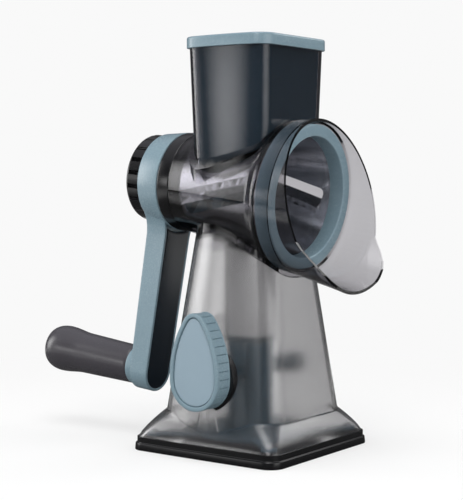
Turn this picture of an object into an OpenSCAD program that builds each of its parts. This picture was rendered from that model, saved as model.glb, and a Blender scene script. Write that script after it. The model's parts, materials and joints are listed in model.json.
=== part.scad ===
// Rotary cabbage shredder: a hand crank turns a bladed drum inside a clear housing,
// which stands on a hollow tower with a suction foot.
// Millimetres, +Z up. The mouth faces -Y, the crank is at +Y and the suction knob at -X.
// The origin is the middle of the footprint, on the table.

/* [Base] */
// Width of the base trim at the table
base_w = 125; // [118:1:135]
// Corner radius of the base trim
base_r = 11; // [9:0.5:14]
// Height of the base trim
trim_h = 9; // [8:0.25:10]
// Height of the lower step of the trim
trim_step_h = 5; // [3.5:0.25:5.5]
// How far the upper step of the trim stands back
trim_step_w = 1.2; // [0.8:0.1:1.6]
// How much each step of the trim flares out towards the table
trim_flare = 0.5; // [0.2:0.1:0.8]
// Width of the trim's frame, from its outer edge to the opening
trim_w = 9.5; // [8:0.5:11]
// Height of the rebate in which the stand's edge sits
trim_seat_z = 6; // [5.5:0.25:6.5]
// Radius of the four screw lugs inside the trim
lug_r = 5.5; // [5:0.25:6]
// Distance of a lug's centre from the trim's outer edge
lug_inset = 13.5; // [12.5:0.25:14.5]
// Gap between the suction pad's rim and the trim's frame
pad_gap = 3; // [2.5:0.5:8]
// Thickness of the pad in the middle
pad_t = 3; // [2.5:0.25:3.5]
// Thickness of the pad at its rim
pad_rim_t = 1.2; // [0.8:0.1:1.8]
// Radius of the dark disc of the base plate
plate_r = 37; // [32:1:42]
// Thickness of the base plate
plate_t = 2.5; // [2:0.25:3]

/* [Stand] */
// Height of the foot's dome above the trim
dome_h = 20; // [16:1:24]
// How far the dome's lower edge stands back from the trim's edge
dome_setback = 2.5; // [2.2:0.1:3]
// How much narrower the dome is at its top, on each side
dome_drop = 12; // [10:0.5:13]
// Width of the tower at the dome's top
tower_w = 98; // [94:1:101]
// Lean of each side of the tower
tower_taper = 6.8; // [6.2:0.1:7.4]
// Corner radius of the tower
tower_r = 19; // [15:1:22]
// How far the tower's left and right faces bulge at the bottom
tower_bow = 6; // [4:0.5:7]
// How far those faces bulge at the top
tower_top_bow = 2.5; // [1.5:0.5:4]
// How far the tower stands towards the mouth
tower_shift = 1; // [0:0.5:2]
// Wall of the stand
stand_wall = 2.6; // [2:0.2:3]

/* [Column and suction lock] */
// Outer width of the square guide column
column_w = 26; // [25:0.5:27]
// Height at which the guide column ends and the support tube begins
column_top_z = 76; // [72:1:84]
// Inner width of the guide column, in which the yoke slides
column_bore_w = 21; // [20:0.25:21.5]
// Outer width of the square support tube
tube_w = 29; // [28:0.5:31]
// Height of the knob's shaft
knob_z = 54.5; // [52:0.5:57]
// Radius of the knob's shaft
cam_shaft_r = 3.5; // [3:0.1:3.7]
// Lift of the pad when the knob turns a quarter
cam_lift = 3; // [2:0.25:3]
// Radius of the eccentric on the shaft
cam_r = 5.9; // [5.8:0.05:6.2]
// Radius of the knob's broad lower end
knob_r = 20.5; // [19:0.5:22]
// Radius of the knob's tip
knob_tip_r = 9.5; // [8.5:0.25:11]
// Distance from the shaft to the centre of the tip
knob_reach = 37; // [33:1:40]
// Radius of the knob's long sides
knob_side_r = 70; // [62:1:80]
// Thickness of the knob
knob_t = 14.6; // [13:0.2:16]
// Distance of the knob's back from the middle of the stand
knob_back_x = 54; // [54:0.25:56]
// Border round the knob's face plate
knob_border = 3.4; // [3:0.2:4.2]
// Number of finger grooves in the knob's rim
knob_grooves = 30; // [24:1:34]
// Radius of the dark seat behind the knob
seat_r = 22.5; // [21:0.5:23]

/* [Drum] */
// Height of the drum's axis above the middle of the base
axis_z = 183.5; // [182:0.5:186]
// Fall of the drum's axis towards the mouth
axis_tilt = 5.5; // [5:0.1:6]
// Length of the steel cone
drum_len = 91.2; // [90:0.2:93]
// Distance of the cone's rear end behind the middle of the base
drum_rear = 45.5; // [45.2:0.1:46]
// Radius of the cone at the rear
drum_rear_r = 29.9; // [29:0.1:30.5]
// Radius of the cone at the front
drum_front_r = 45.6; // [45.4:0.1:46]
// Thickness of the steel
drum_t = 1; // [0.8:0.1:1.2]
// Number of blades
blade_count = 4; // [2:1:4]
// Steel left between a blade's slot and the hub behind it or the ring before it
blade_margin = 4.3; // [3.6:0.1:6]
// Width of a blade's slot
blade_w = 17; // [14:0.5:18]
// Angle between a blade and the drum's axis
blade_helix = 15; // [10:1:18]
// How far a blade's edge stands out of the drum
blade_rise = 2.2; // [1.6:0.1:2.4]
// Turn of the first blade about the axis
blade_phase = 6; // [0:1:90]
// Outer radius of the front ring
ring_r = 50.4; // [50:0.1:51]
// Radius of the front ring's mouth
ring_bore_r = 42.2; // [41.8:0.1:42.4]
// Length of the front ring
ring_len = 11.5; // [10:0.5:12]
// Thickness of the front ring's face
ring_face_t = 4.5; // [3.5:0.25:5]

/* [Housing] */
// Wall of the housing
housing_wall = 2.2; // [2:0.1:2.5]
// Gap between the blades and the housing
drum_gap = 1.9; // [1.6:0.1:2.2]
// Gap round the drum's front ring
ring_gap = 0.7; // [0.5:0.1:0.9]
// Step from the ring's seat to the visor
visor_step = 1.3; // [1:0.1:1.6]
// Flare of the visor
visor_taper = 9.4; // [8:0.2:10]
// Distance of the visor's top edge before the middle of the base
visor_top = 53; // [52.5:0.25:56]
// Lean of the visor's edge from top to bottom
rim_lean = 15.5; // [12:0.5:18]
// How far the visor's lower lip runs on in front of that edge
lip_len = 10.5; // [7:0.5:12]
// Height below the axis at which the lower lip begins
lip_drop = 26; // [22:1:30]
// Depth of the skirt between housing and stand at the back
skirt_rear_h = 3.5; // [3:0.25:4.5]
// Depth of that skirt at the front
skirt_front_h = 5.1; // [4.5:0.25:6]
// Width of the chute at its top, without its bulge
chute_w = 80.5; // [78:0.5:82]
// Distance of the chute's front face behind the cone's front end
chute_front_gap = 7.6; // [6.6:0.1:9]
// Distance of the chute's rear face before the cone's rear end
chute_rear_gap = 15.6; // [14:0.1:17]
// Height of the chute's top above the drum's axis
chute_h = 98.4; // [90:1:110]
// Draft of the chute's sides
chute_draft = 1.7; // [1:0.1:2.2]
// Corner radius of the chute
chute_r = 11; // [9.5:0.5:13]
// How far the chute's left and right faces bulge
chute_bow = 1.5; // [1:0.1:2]
// Wall of the chute
chute_wall = 2.4; // [2:0.1:2.6]
// Width of the raised rim round the chute's foot
chute_rim_w = 3.5; // [2.5:0.25:4]
// Height of that rim above the barrel
chute_rim_h = 2.4; // [1.6:0.2:3]

/* [Crank] */
// Length of the black rear cap
cap_len = 10.8; // [10:0.2:12]
// Radius of the rear cap and of the crank's disc
crank_r = 36; // [35:0.5:37]
// Radius of that disc at its back
crank_rear_r = 33.5; // [33:0.25:34.5]
// Thickness of the crank's disc
crank_t = 19.8; // [18:0.2:21]
// Distance from the drum's axis to the grip's axis
arm_reach = 141; // [130:1:146]
// Half the width of the arm below its neck
arm_half_w = 15; // [14.5:0.25:16]
// Radius of the arm's end
arm_end_r = 14.5; // [13.5:0.25:14.5]
// How far the arm runs on below the grip's axis before its end turns round
arm_end_run = 2; // [1:0.25:3]
// Radius of the fillets at the arm's neck
neck_r = 25; // [18:1:32]
// How far the arm's inner face stands back at the neck
arm_step = 1.2; // [0.8:0.1:2]
// How far it stands back at the arm's end
arm_end_step = 4; // [3:0.25:5]
// Thickness of the cover on the arm's inner face
cover_t = 2.5; // [2:0.25:3]
// Border round that cover
cover_border = 2; // [1.5:0.25:2.5]
// Angle at which the crank hangs, from straight down towards the knob's side
crank_angle = 5; // [0:1:10]
// Radius of the crank's bearing sleeve
sleeve_r = 10; // [9.5:0.25:11]
// Radius of the six-sided drive shaft over its corners
shaft_r = 6; // [5.5:0.1:6.4]
// Radius of the lock knob
lock_r = 32; // [30.5:0.5:33]
// Thickness of the lock knob
lock_t = 11.6; // [10:0.2:12.4]
// Number of grip ribs on the lock knob
lock_ribs = 20; // [16:1:24]
// Length of the grip's collar
collar_len = 5; // [4:0.5:6]
// Radius of the grip at the arm
grip_r = 14.2; // [13.5:0.1:15]
// Radius of the grip's flared end
grip_end_r = 17.6; // [16.5:0.1:18.5]
// Length of the grip
grip_len = 82; // [74:1:88]
// Radius of the grip's spindle
spindle_r = 4; // [3.5:0.1:4.4]

/* [Pusher] */
// Height of the pusher's cap
cap_h = 7.9; // [7:0.1:9]
// How far the cap stands out over the chute
cap_over = 2.1; // [1.8:0.1:2.6]
// Rounding of the cap's top edge
cap_soft = 1.6; // [1:0.1:2]
// Gap between the pusher and the chute
pusher_gap = 0.6; // [0.4:0.1:0.8]
// Wall of the pusher
pusher_wall = 2; // [1.6:0.1:2.4]
// Gap between the pusher's foot and the blades
pusher_drum_gap = 1.2; // [1:0.1:1.5]

/* [Hidden] */
$fn = 64;

// Clearances and overruns
over = 1;
fit = 0.1;
run_fit = 0.06;
slide_gap = 0.3;
turn_gap = 0.4;

// Steps of the outlines and curves
corner_steps = 6;
side_steps = 8;
dome_steps = 5;
curve_steps = 12;

// Colours
BLUE_GREY = "#8fa3ae";
DARK_SLATE = "#2f3b44";
BLACK = "#1a1b1d";
SMOKE = [0.3, 0.31, 0.33, 0.45];
CLEAR_SMOKE = [0.35, 0.35, 0.38, 0.35];
STEEL = "#c9cbd0";
CHARCOAL = "#4a484d";

// Foot and trim
base_half = base_w / 2;
upper_half = base_half - trim_step_w;
shell_half = base_half - dome_setback;
shell_r = base_r - dome_setback;
opening_half = base_half - trim_w;
opening_r = base_r - dome_setback;
pad_r = opening_half - pad_gap;
lug_at = base_half - lug_inset;
plain_bow = 0.4;
dome_power_share = 1.35;
dome_top_z = trim_h + dome_h;

// Stack of the suction foot, from the table up
lift_plate_r = 11;
lift_plate_t = 2.8;
lift_plate_z = pad_t + slide_gap;
lift_plate_top = lift_plate_z + lift_plate_t;
plate_z = lift_plate_top + cam_lift + slide_gap;
plate_top = plate_z + plate_t;
arm_ear_w = 9;
rod_r = 4;

// Screws
screw_r = 1.5;
screw_head_r = 2.9;
screw_head_h = 1.8;
screw_len = 8;
cross_w = 0.9;
cross_len = 3.4;
cross_depth = 0.9;

// Guide column
column_r = 3;
flange_w = 38;
flange_t = 3;
boss_at = 14.5;
boss_r = 3.4;
boss_h = 9;
flute_w = 3;
flute_depth = 1.2;
flute_at = 6.5;
column_z = plate_top;
tube_wall = 2.2;
tube_r = 4;
tube_lap = 4;

// Cam and yoke: the eccentric swings from 45 degrees below the shaft to 45 above it
cam_phase = 45;
cam_offset = cam_lift / (2 * sin(cam_phase));
cam_t = 7;
yoke_w = column_bore_w - 2 * slide_gap;
yoke_wall_h = 3;
yoke_window_h = 2 * (cam_r + slide_gap);
yoke_window_w = 2 * (cam_r + cam_offset + slide_gap);
yoke_z = knob_z - cam_offset * sin(cam_phase);
yoke_half_h = yoke_window_h / 2 + yoke_wall_h;
cam_hole_r = cam_shaft_r + over;

// Suction knob
face_recess = 0.8;
face_t = 2;
knob_edge = 0.7;
groove_r = 0.9;
groove_stop = 2.4;
knob_hub_r = 7;
knob_hub_depth = 8;
seat_gap = turn_gap;
spigot_r = 8;
spigot_len = 9;
bearing_r = 7.5;
bearing_spigot_r = 5.8;
bearing_len = 10;
bearing_rise = 5;
bearing_end = 1.5;
bearing_rear_x = tower_half(knob_z) + tower_bow + bearing_rise;

// Drum, along its axis: s is the distance before the middle of the base, towards the mouth
drum_rear_s = -drum_rear;
drum_front_s = drum_rear_s + drum_len;
drum_taper = (drum_front_r - drum_rear_r) / drum_len;
ring_front_s = drum_front_s + slide_gap + ring_face_t;
ring_rear_s = ring_front_s - ring_len;
ring_wall = 2;
ring_edge = 1.1;
ring_neck_r = drum_r(ring_rear_s) - drum_t - fit;
hub_t = 3;
hub_boss_r = 12;
hub_boss_len = 14;
hub_rib_w = 2.4;
hub_rib_h = 5;
hub_ribs = 6;
blade_mid_s = (drum_rear_s + ring_rear_s) / 2;
blade_run = ring_rear_s - drum_rear_s - 2 * blade_margin;
blade_len = (blade_run - blade_w * sin(blade_helix)) / cos(blade_helix);
blade_round_r = 4;
ramp_w_share = 0.28;
edge_w_share = 0.28;
ramp_drop = 1.2;
root_drop = 0.4;
strip_lap = 0.25;

// Housing
barrel_rear_s = drum_rear_s - blade_rise;
flare_start_s = 28;
flare_end_s = 39;
ring_seat_s = ring_rear_s - turn_gap;
seat_bore_r = ring_r + ring_gap;
visor_s = ring_front_s + turn_gap;
visor_bore_r = seat_bore_r + visor_step;
visor_end_s = visor_top + 2 * seat_bore_r * tan(rim_lean) + lip_len + over;
lip_ease_share = 0.75;
lip_depth = seat_bore_r - lip_drop;
parting_mid_s = 0;
parting_front_s = 40;
chute_top_z = axis_z + chute_h;
chute_d = drum_len - chute_front_gap - chute_rear_gap;
chute_shift = drum_front_s - chute_front_gap - chute_d / 2;

// Crank, rear cap and lock knob, measured along the drum's axis
cap_front_s = barrel_rear_s;
cap_rear_s = cap_front_s - cap_len;
cap_plug_len = 3.5;
cap_plug_wall = 1.8;
cap_edge = 1;
bush_r = 13;
disc_front_s = cap_rear_s - turn_gap;
disc_rear_s = disc_front_s - crank_t;
disc_edge = 1;
snap_lip_h = 0.9;
snap_lip_len = 1.1;
lock_hub_r = 12;
lock_hub_len = 6;
lock_front_s = disc_rear_s - turn_gap;
lock_rear_s = lock_front_s - lock_t;
lock_wall = 2;
lock_groove_r = 1.3;
lock_dish_r = 23;
lock_dish_depth = 1.6;
shaft_front_s = drum_rear_s + hub_t + hub_boss_len - lock_wall;
shaft_rear_s = lock_rear_s + lock_wall + slide_gap;
neck_x = arm_half_w + neck_r;
neck_v = -sqrt(pow(crank_rear_r + neck_r, 2) - pow(neck_x, 2));
neck_turn = atan2(-neck_v, -neck_x);
arm_end_v = -arm_reach - arm_end_run;

// Grip
grip_front_s = disc_rear_s - collar_len - slide_gap;
grip_rear_s = grip_front_s - grip_len;
grip_mid_r = grip_r + 0.35 * (grip_end_r - grip_r);
grip_flare_share = 0.58;
grip_round_share = 0.86;
grip_round_in = 5;
spindle_seat = 8;
spindle_head_r = 7;
spindle_head_t = 2;
end_cap_r = 9;
end_cap_t = 3;
end_cap_depth = 3.4;

// Pusher
cap_seat_gap = 0.2;
cap_plug_h = 3;
pusher_floor = 2.5;

// Radius of the steel cone at a place along its axis
function drum_r(s) = drum_rear_r + (s - drum_rear_s) * drum_taper;
function barrel_bore_r(s) = drum_r(s) + blade_rise + drum_gap;
function barrel_r(s) = barrel_bore_r(s) + housing_wall;
function visor_r(s) = visor_bore_r + (s - visor_s) * tan(visor_taper);

// Half the width of the tower and the dome at a height
function tower_half(z) = tower_w / 2 - (z - dome_top_z) * tan(tower_taper);
function dome_half(t) = shell_half - dome_drop * pow(t, dome_power_share);

// Smooth step from 0 to 1
function ease(t) = t * t * (3 - 2 * t);

// Points of an arc
function arc(x, y, r, from, to, steps) =
    [for (i = [0 : steps]) let (a = from + (to - from) * i / steps) [x + r * cos(a), y + r * sin(a)]];

// Rounded rectangle whose left and right sides bulge by bow, with every arc tangent to the next
function bowed_outline(hx, hy, r, bow) =
    let (cy = hy - r,
        q = (cy * cy + bow * bow) / (2 * bow),
        a = asin(cy / q),
        half = concat(
            arc(hx - r, -cy, r, -90, -a, corner_steps),
            [for (i = [1 : side_steps - 1]) let (t = -a + 2 * a * i / side_steps)
                [hx + bow - q - r + (q + r) * cos(t), (q + r) * sin(t)]],
            arc(hx - r, cy, r, a, 90, corner_steps)))
    concat(half, [for (p = half) -p]);

// Egg of four tangent arcs: the broad end round the origin and the tip above it
egg_side_v = (pow(knob_side_r - knob_r, 2) - pow(knob_side_r - knob_tip_r, 2)
    + pow(knob_reach, 2)) / (2 * knob_reach);
egg_side_x = sqrt(pow(knob_side_r - knob_r, 2) - pow(egg_side_v, 2));
egg_low = atan2(-egg_side_v, egg_side_x);
egg_high = atan2(knob_reach - egg_side_v, egg_side_x);
function egg_half(inset) = concat(
    arc(0, 0, knob_r - inset, -90, egg_low, curve_steps),
    arc(-egg_side_x, egg_side_v, knob_side_r - inset, egg_low, egg_high, side_steps),
    arc(0, knob_reach, knob_tip_r - inset, egg_high, 90, corner_steps));
function egg_outline(inset) = let (half = egg_half(inset), n = len(half))
    concat(half, [for (i = [1 : n - 2]) [-half[n - 1 - i][0], half[n - 1 - i][1]]]);

// Place on the egg's rim at a distance from its bottom, and the lengths of its three arcs
quarter_turn = 90;
half_turn = 2 * quarter_turn;
egg_arc_1 = knob_r * (egg_low + quarter_turn) * PI / half_turn;
egg_arc_2 = knob_side_r * (egg_high - egg_low) * PI / half_turn;
egg_arc_3 = knob_tip_r * (quarter_turn - egg_high) * PI / half_turn;
egg_half_len = egg_arc_1 + egg_arc_2 + egg_arc_3;
function egg_at(d) =
    d < egg_arc_1 ? let (a = -90 + (egg_low + 90) * d / egg_arc_1) knob_r * [cos(a), sin(a)]
    : d < egg_arc_1 + egg_arc_2
        ? let (a = egg_low + (egg_high - egg_low) * (d - egg_arc_1) / egg_arc_2)
            [-egg_side_x, egg_side_v] + knob_side_r * [cos(a), sin(a)]
        : let (a = egg_high + (90 - egg_high) * (d - egg_arc_1 - egg_arc_2) / egg_arc_3)
            [0, knob_reach] + knob_tip_r * [cos(a), sin(a)];

// Edge of the visor: where it lies along the axis, at a height above the axis
function lip_share(v) = let (t = max(0, min(1, (-lip_drop - v) / lip_depth)))
    (1 - cos(180 * pow(t, lip_ease_share))) / 2;
function rim_s(v) = visor_top + (seat_bore_r - v) * tan(rim_lean) + lip_len * lip_share(v);

// Frames: the drum's axis points out of the mouth, and the crank hangs at its angle
module on_axis() translate([0, 0, axis_z]) rotate([90 + axis_tilt, 0, 0]) children();
module on_crank() on_axis() rotate([0, 0, -crank_angle]) children();
module on_grip() on_crank() translate([0, -arm_reach, 0]) children();
module on_cam() translate([0, 0, knob_z]) children();

// Round bars along the axis and along X, and a revolved ring
module bar(s0, s1, r) translate([0, 0, s0]) cylinder(h = s1 - s0, r = r);
module bar_x(x0, x1, r) translate([x0, 0, 0]) rotate([0, 90, 0]) cylinder(h = x1 - x0, r = r);
module ring(s0, s1, r, bore_r) difference() {
    bar(s0, s1, r);
    bar(s0 - over, s1 + over, bore_r);
}
module six_sided(s0, s1, r) translate([0, 0, s0]) cylinder(h = s1 - s0, r = r, $fn = 6);

// Extrude an outline drawn in Y and Z along X
module along_x(x0, x1) translate([x0, 0, 0]) rotate([90, 0, 90]) linear_extrude(x1 - x0) children();

// Solid through levels, each a height and an outline, all with as many points
function level(hx, hy, r, bow, z) = [z, bowed_outline(hx, hy, r, bow)];
module loft(levels) {
    n = len(levels[0][1]);
    top = n * (len(levels) - 1);
    polyhedron(points = [for (l = levels, p = l[1]) [p[0], p[1], l[0]]], faces = concat(
        [[for (i = [0 : n - 1]) i], [for (i = [n - 1 : -1 : 0]) top + i]],
        [for (j = [0 : n : top - n], i = [0 : n - 1]) let (k = (i + 1) % n)
            each [[j + i, j + n + i, j + n + k], [j + i, j + n + k, j + k]]]));
}
module prism(half, r, z0, z1) translate([0, 0, z0]) linear_extrude(z1 - z0)
    polygon(bowed_outline(half, half, r, plain_bow));
module at_corners(d) for (x = [-d, d], y = [-d, d]) translate([x, y, 0]) children();

// Pan-head screw with a cross recess, head up, seated on z = 0
module screw() difference() {
    union() {
        cylinder(h = screw_head_h, r = screw_head_r);
        translate([0, 0, -screw_len]) cylinder(h = screw_len, r = screw_r);
    }
    for (a = [0, 90]) rotate([0, 0, a]) translate([-cross_len / 2, -cross_w / 2, screw_head_h - cross_depth])
        cube([cross_len, cross_w, cross_depth + over]);
}

// Solid of the tower, from the trim to the height of the axis, drawn in by inset
module tower_solid(inset) {
    low = inset > 0 ? trim_seat_z - over : trim_h;
    high = inset > 0 ? axis_z + over : axis_z;
    translate([0, -tower_shift, 0]) loft([
        level(tower_half(low) - inset, tower_half(low) - inset, tower_r - inset, tower_bow, low),
        level(tower_half(high) - inset, tower_half(high) - inset, tower_r - inset, tower_top_bow, high)]);
}

// Solid of the foot's dome, drawn in by inset
module dome_solid(inset) loft(concat(
    [level(shell_half - inset, shell_half - inset, shell_r - inset, plain_bow,
        inset > 0 ? trim_seat_z - over : trim_seat_z)],
    [for (i = [0 : dome_steps]) let (t = i / dome_steps, half = dome_half(t) - inset)
        level(half, half, shell_r - inset + (tower_r - shell_r) * t, plain_bow,
            trim_h + (dome_h - inset) * t)]));

// Revolved body whose surface is the parting between stand and housing
module parting_body() {
    slope = (barrel_r(parting_front_s) + skirt_front_h - barrel_r(parting_mid_s) - skirt_rear_h)
        / (parting_front_s - parting_mid_s);
    mid_r = barrel_r(parting_mid_s) + skirt_rear_h;
    on_axis() rotate_extrude() polygon([
        [0, barrel_rear_s], [mid_r, barrel_rear_s], [mid_r, parting_mid_s],
        [mid_r + slope * (visor_end_s - parting_mid_s), visor_end_s], [0, visor_end_s]]);
}

// Solid of the chute from the axis up, grown by grow, up to a height
module chute_solid(grow, top_z) translate([0, -chute_shift, 0]) loft([
    for (z = [axis_z, top_z]) let (in = (chute_top_z - z) * tan(chute_draft))
        level(chute_w / 2 - in + grow, chute_d / 2 - in + grow, chute_r + grow, chute_bow, z)]);

// Step of the trim, which flares out towards the table
module trim_step(half, r, z0, z1) loft([
    level(half, half, r, plain_bow, z0),
    level(half - trim_flare, half - trim_flare, r - trim_flare, plain_bow, z1)]);

module base_trim() color(BLACK) difference() {
    union() {
        difference() {
            union() {
                trim_step(base_half, base_r, 0, trim_step_h);
                trim_step(upper_half, base_r - trim_step_w, trim_step_h - over, trim_h);
            }
            prism(opening_half, opening_r, -over, trim_h + over);
            prism(shell_half + fit, shell_r + fit, trim_seat_z, trim_h + over);
        }
        at_corners(lug_at) cylinder(h = plate_z, r = lug_r);
    }
    at_corners(lug_at) translate([0, 0, plate_top - screw_len - over]) cylinder(h = screw_len + over, r = screw_r + fit);
}

module suction_pad() color([0.16, 0.17, 0.18, 0.8]) rotate_extrude() polygon([
    [0, 0], [pad_r, 0], [pad_r, pad_rim_t], [lift_plate_r + rod_r, pad_t], [0, pad_t]]);

module base_plate() color(DARK_SLATE) translate([0, 0, plate_z]) linear_extrude(plate_t) difference() {
    union() {
        circle(r = plate_r);
        for (a = [45, 135]) rotate(a) square([2 * lug_at * sqrt(2), arm_ear_w], center = true);
        at_corners(lug_at) circle(r = lug_r);
    }
    circle(r = rod_r + slide_gap);
    at_corners(lug_at) circle(r = screw_r + fit);
    at_corners(boss_at) circle(r = screw_r + fit);
}

module base_screws() color(STEEL) at_corners(lug_at) translate([0, 0, plate_top]) screw();

module column_screws() color(STEEL) at_corners(boss_at) translate([0, 0, plate_z]) mirror([0, 0, 1]) screw();

module stand_shell() color(SMOKE) difference() {
    union() {
        dome_solid(0);
        tower_solid(0);
    }
    dome_solid(stand_wall);
    tower_solid(stand_wall);
    parting_body();
    on_cam() bar_x(-knob_back_x - over, -tower_half(knob_z) / 2, spigot_r + fit);
    on_cam() bar_x(tower_half(knob_z) / 2, bearing_rear_x + over, bearing_spigot_r + fit);
}

module guide_column() color(DARK_SLATE) difference() {
    union() {
        prism(column_w / 2, column_r, column_z, column_top_z);
        prism(flange_w / 2, column_r, column_z, column_z + flange_t);
        prism(tube_w / 2 - tube_wall - fit, tube_r - tube_wall, column_top_z - over, column_top_z + tube_lap);
        at_corners(boss_at) translate([0, 0, column_z]) cylinder(h = boss_h, r = boss_r);
    }
    translate([-column_bore_w / 2, -column_bore_w / 2, column_z - over])
        cube([column_bore_w, column_bore_w, column_top_z + tube_lap - column_z + 2 * over]);
    for (a = [0, 90, 180, 270]) rotate([0, 0, a]) for (y = [-flute_at, flute_at])
        translate([column_w / 2 + plain_bow - flute_depth, y - flute_w / 2, column_z + flange_t])
            cube([column_w, flute_w, column_top_z - column_z - 2 * flange_t]);
    on_cam() bar_x(-flange_w, flange_w, cam_hole_r);
    at_corners(boss_at) translate([0, 0, column_z - over]) cylinder(h = screw_len, r = screw_r + fit);
}

module support_tube() color(SMOKE) difference() {
    prism(tube_w / 2, tube_r, column_top_z, axis_z);
    prism(tube_w / 2 - tube_wall, tube_r - tube_wall, column_top_z - over, axis_z + over);
    on_axis() translate([0, 0, barrel_rear_s])
        cylinder(h = -barrel_rear_s + flare_start_s, r1 = barrel_r(barrel_rear_s) + fit, r2 = barrel_r(flare_start_s) + fit);
}

module knob_seat() color(BLACK) on_cam() difference() {
    union() {
        difference() {
            bar_x(-knob_back_x + seat_gap, -knob_back_x / 2, seat_r);
            translate([0, 0, -knob_z]) tower_solid(0);
        }
        bar_x(-knob_back_x + seat_gap, -tower_half(knob_z) + spigot_len - tower_bow, spigot_r);
    }
    bar_x(-knob_back_x - over, 0, cam_shaft_r + run_fit);
}

module shaft_bearing() color(DARK_SLATE) on_cam() difference() {
    union() {
        difference() {
            bar_x(tower_half(knob_z), bearing_rear_x, bearing_r);
            translate([0, 0, -knob_z]) tower_solid(0);
        }
        bar_x(tower_half(knob_z) - bearing_len, bearing_rear_x - bearing_end, bearing_spigot_r);
    }
    bar_x(0, bearing_rear_x - bearing_end, cam_shaft_r + run_fit);
}

// Outer profile of barrel, ring seat and visor, from the rear to the front
function housing_profile() = concat(
    [[0, barrel_rear_s], [barrel_r(barrel_rear_s), barrel_rear_s]],
    [for (i = [0 : curve_steps / 2]) let (t = 2 * i / curve_steps,
        s = flare_start_s + (flare_end_s - flare_start_s) * t,
        low = barrel_r(s), high = seat_bore_r + housing_wall)
        [low + (high - low) * ease(t), s]],
    [[visor_r(visor_s) + housing_wall, visor_s + visor_step],
        [visor_r(visor_end_s) + housing_wall, visor_end_s], [0, visor_end_s]]);

module housing_bore() on_axis() rotate_extrude() polygon([
    [0, barrel_rear_s - over], [barrel_bore_r(barrel_rear_s - over), barrel_rear_s - over],
    [barrel_bore_r(ring_seat_s - housing_wall), ring_seat_s - housing_wall],
    [seat_bore_r, ring_seat_s], [seat_bore_r, visor_s - visor_step],
    [visor_r(visor_s), visor_s], [visor_r(visor_end_s + over), visor_end_s + over], [0, visor_end_s + over]]);

// What lies in front of the visor's edge
module rim_cut() {
    reach = visor_r(visor_end_s) + housing_wall + over;
    along_x(-reach, reach) polygon(concat(
        [for (i = [0 : 2 * curve_steps]) let (v = reach - reach * i / curve_steps) [v, rim_s(v)]],
        [[-reach, visor_end_s + over], [reach, visor_end_s + over]]));
}

module drum_housing() color(CLEAR_SMOKE) difference() {
    union() {
        on_axis() difference() {
            rotate_extrude() polygon(housing_profile());
            rim_cut();
        }
        chute_solid(0, chute_top_z);
        intersection() {
            chute_solid(chute_rim_w, chute_top_z);
            on_axis() translate([0, 0, barrel_rear_s]) cylinder(h = visor_s - barrel_rear_s,
                r1 = barrel_r(barrel_rear_s) + chute_rim_h, r2 = barrel_r(visor_s) + chute_rim_h);
        }
        intersection() {
            difference() {
                tower_solid(0);
                tower_solid(stand_wall);
            }
            parting_body();
        }
    }
    housing_bore();
    chute_solid(-chute_wall, chute_top_z + over);
}

module rear_cap() color(BLACK) on_axis() difference() {
    union() {
        rotate_extrude() polygon([
            [0, cap_rear_s], [crank_r - cap_edge, cap_rear_s], [crank_r, cap_rear_s + cap_edge],
            [crank_r, cap_front_s - cap_edge], [crank_r - cap_edge, cap_front_s], [0, cap_front_s]]);
        bar(cap_front_s, cap_front_s + cap_plug_len, barrel_bore_r(cap_front_s) - fit);
    }
    bar(cap_rear_s - over, cap_front_s + over, bush_r + fit);
    bar(cap_front_s, cap_front_s + cap_plug_len + over, barrel_bore_r(cap_front_s) - fit - cap_plug_wall);
}

module sleeve_bush() color("#e4e4e0") on_axis() ring(cap_rear_s, cap_front_s, bush_r, sleeve_r + run_fit);

// Outline of the arm: filleted neck and tapering arm with a round end, drawn in by inset
module arm_outline(inset) polygon(concat([[0, 0]],
    arc(neck_x, neck_v, neck_r + inset, neck_turn, 180, curve_steps),
    arc(0, arm_end_v, arm_end_r - inset, 0, -180, 2 * curve_steps),
    arc(-neck_x, neck_v, neck_r + inset, 0, 180 - neck_turn, curve_steps)));

// Layer under the arm's slanting inner face, between two depths
module arm_face_layer(top, bottom) {
    end_v = arm_end_v - arm_end_r - over;
    along_x(-crank_r, crank_r) polygon([
        [0, disc_front_s - arm_step - bottom], [end_v, disc_front_s - arm_end_step - bottom],
        [end_v, disc_front_s - arm_end_step - top], [0, disc_front_s - arm_step - top]]);
}

// Cover let into the arm's inner face, grown by grow and standing proud of the face
module arm_cover_solid(grow, proud) difference() {
    translate([0, 0, disc_rear_s]) linear_extrude(crank_t) difference() {
        arm_outline(cover_border - grow);
        circle(r = crank_r + cover_border - grow);
    }
    arm_face_layer(-crank_t, -proud);
    arm_face_layer(cover_t + grow, 2 * crank_t);
}

module crank_arm() color(BLUE_GREY) on_crank() difference() {
    union() {
        rotate_extrude() polygon([
            [0, disc_rear_s], [crank_rear_r - disc_edge, disc_rear_s], [crank_rear_r, disc_rear_s + disc_edge],
            [crank_r, disc_front_s - disc_edge], [crank_r - disc_edge, disc_front_s], [0, disc_front_s]]);
        difference() {
            translate([0, 0, disc_rear_s]) linear_extrude(crank_t) arm_outline(0);
            arm_face_layer(-crank_t, 0);
            arm_cover_solid(fit, over);
        }
        bar(disc_front_s - over, cap_front_s + turn_gap + snap_lip_len, sleeve_r);
        bar(cap_front_s + turn_gap, cap_front_s + turn_gap + snap_lip_len, sleeve_r + snap_lip_h);
    }
    six_sided(disc_rear_s - over, cap_front_s + turn_gap + snap_lip_len + over, shaft_r + fit);
    bar(disc_rear_s - over, disc_rear_s + lock_hub_len, lock_hub_r + fit);
    translate([0, -arm_reach, 0]) bar(disc_rear_s - over, disc_rear_s + spindle_seat, spindle_r + fit);
}

module arm_cover() color("#1b2630") on_crank() arm_cover_solid(0, 0);

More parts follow.
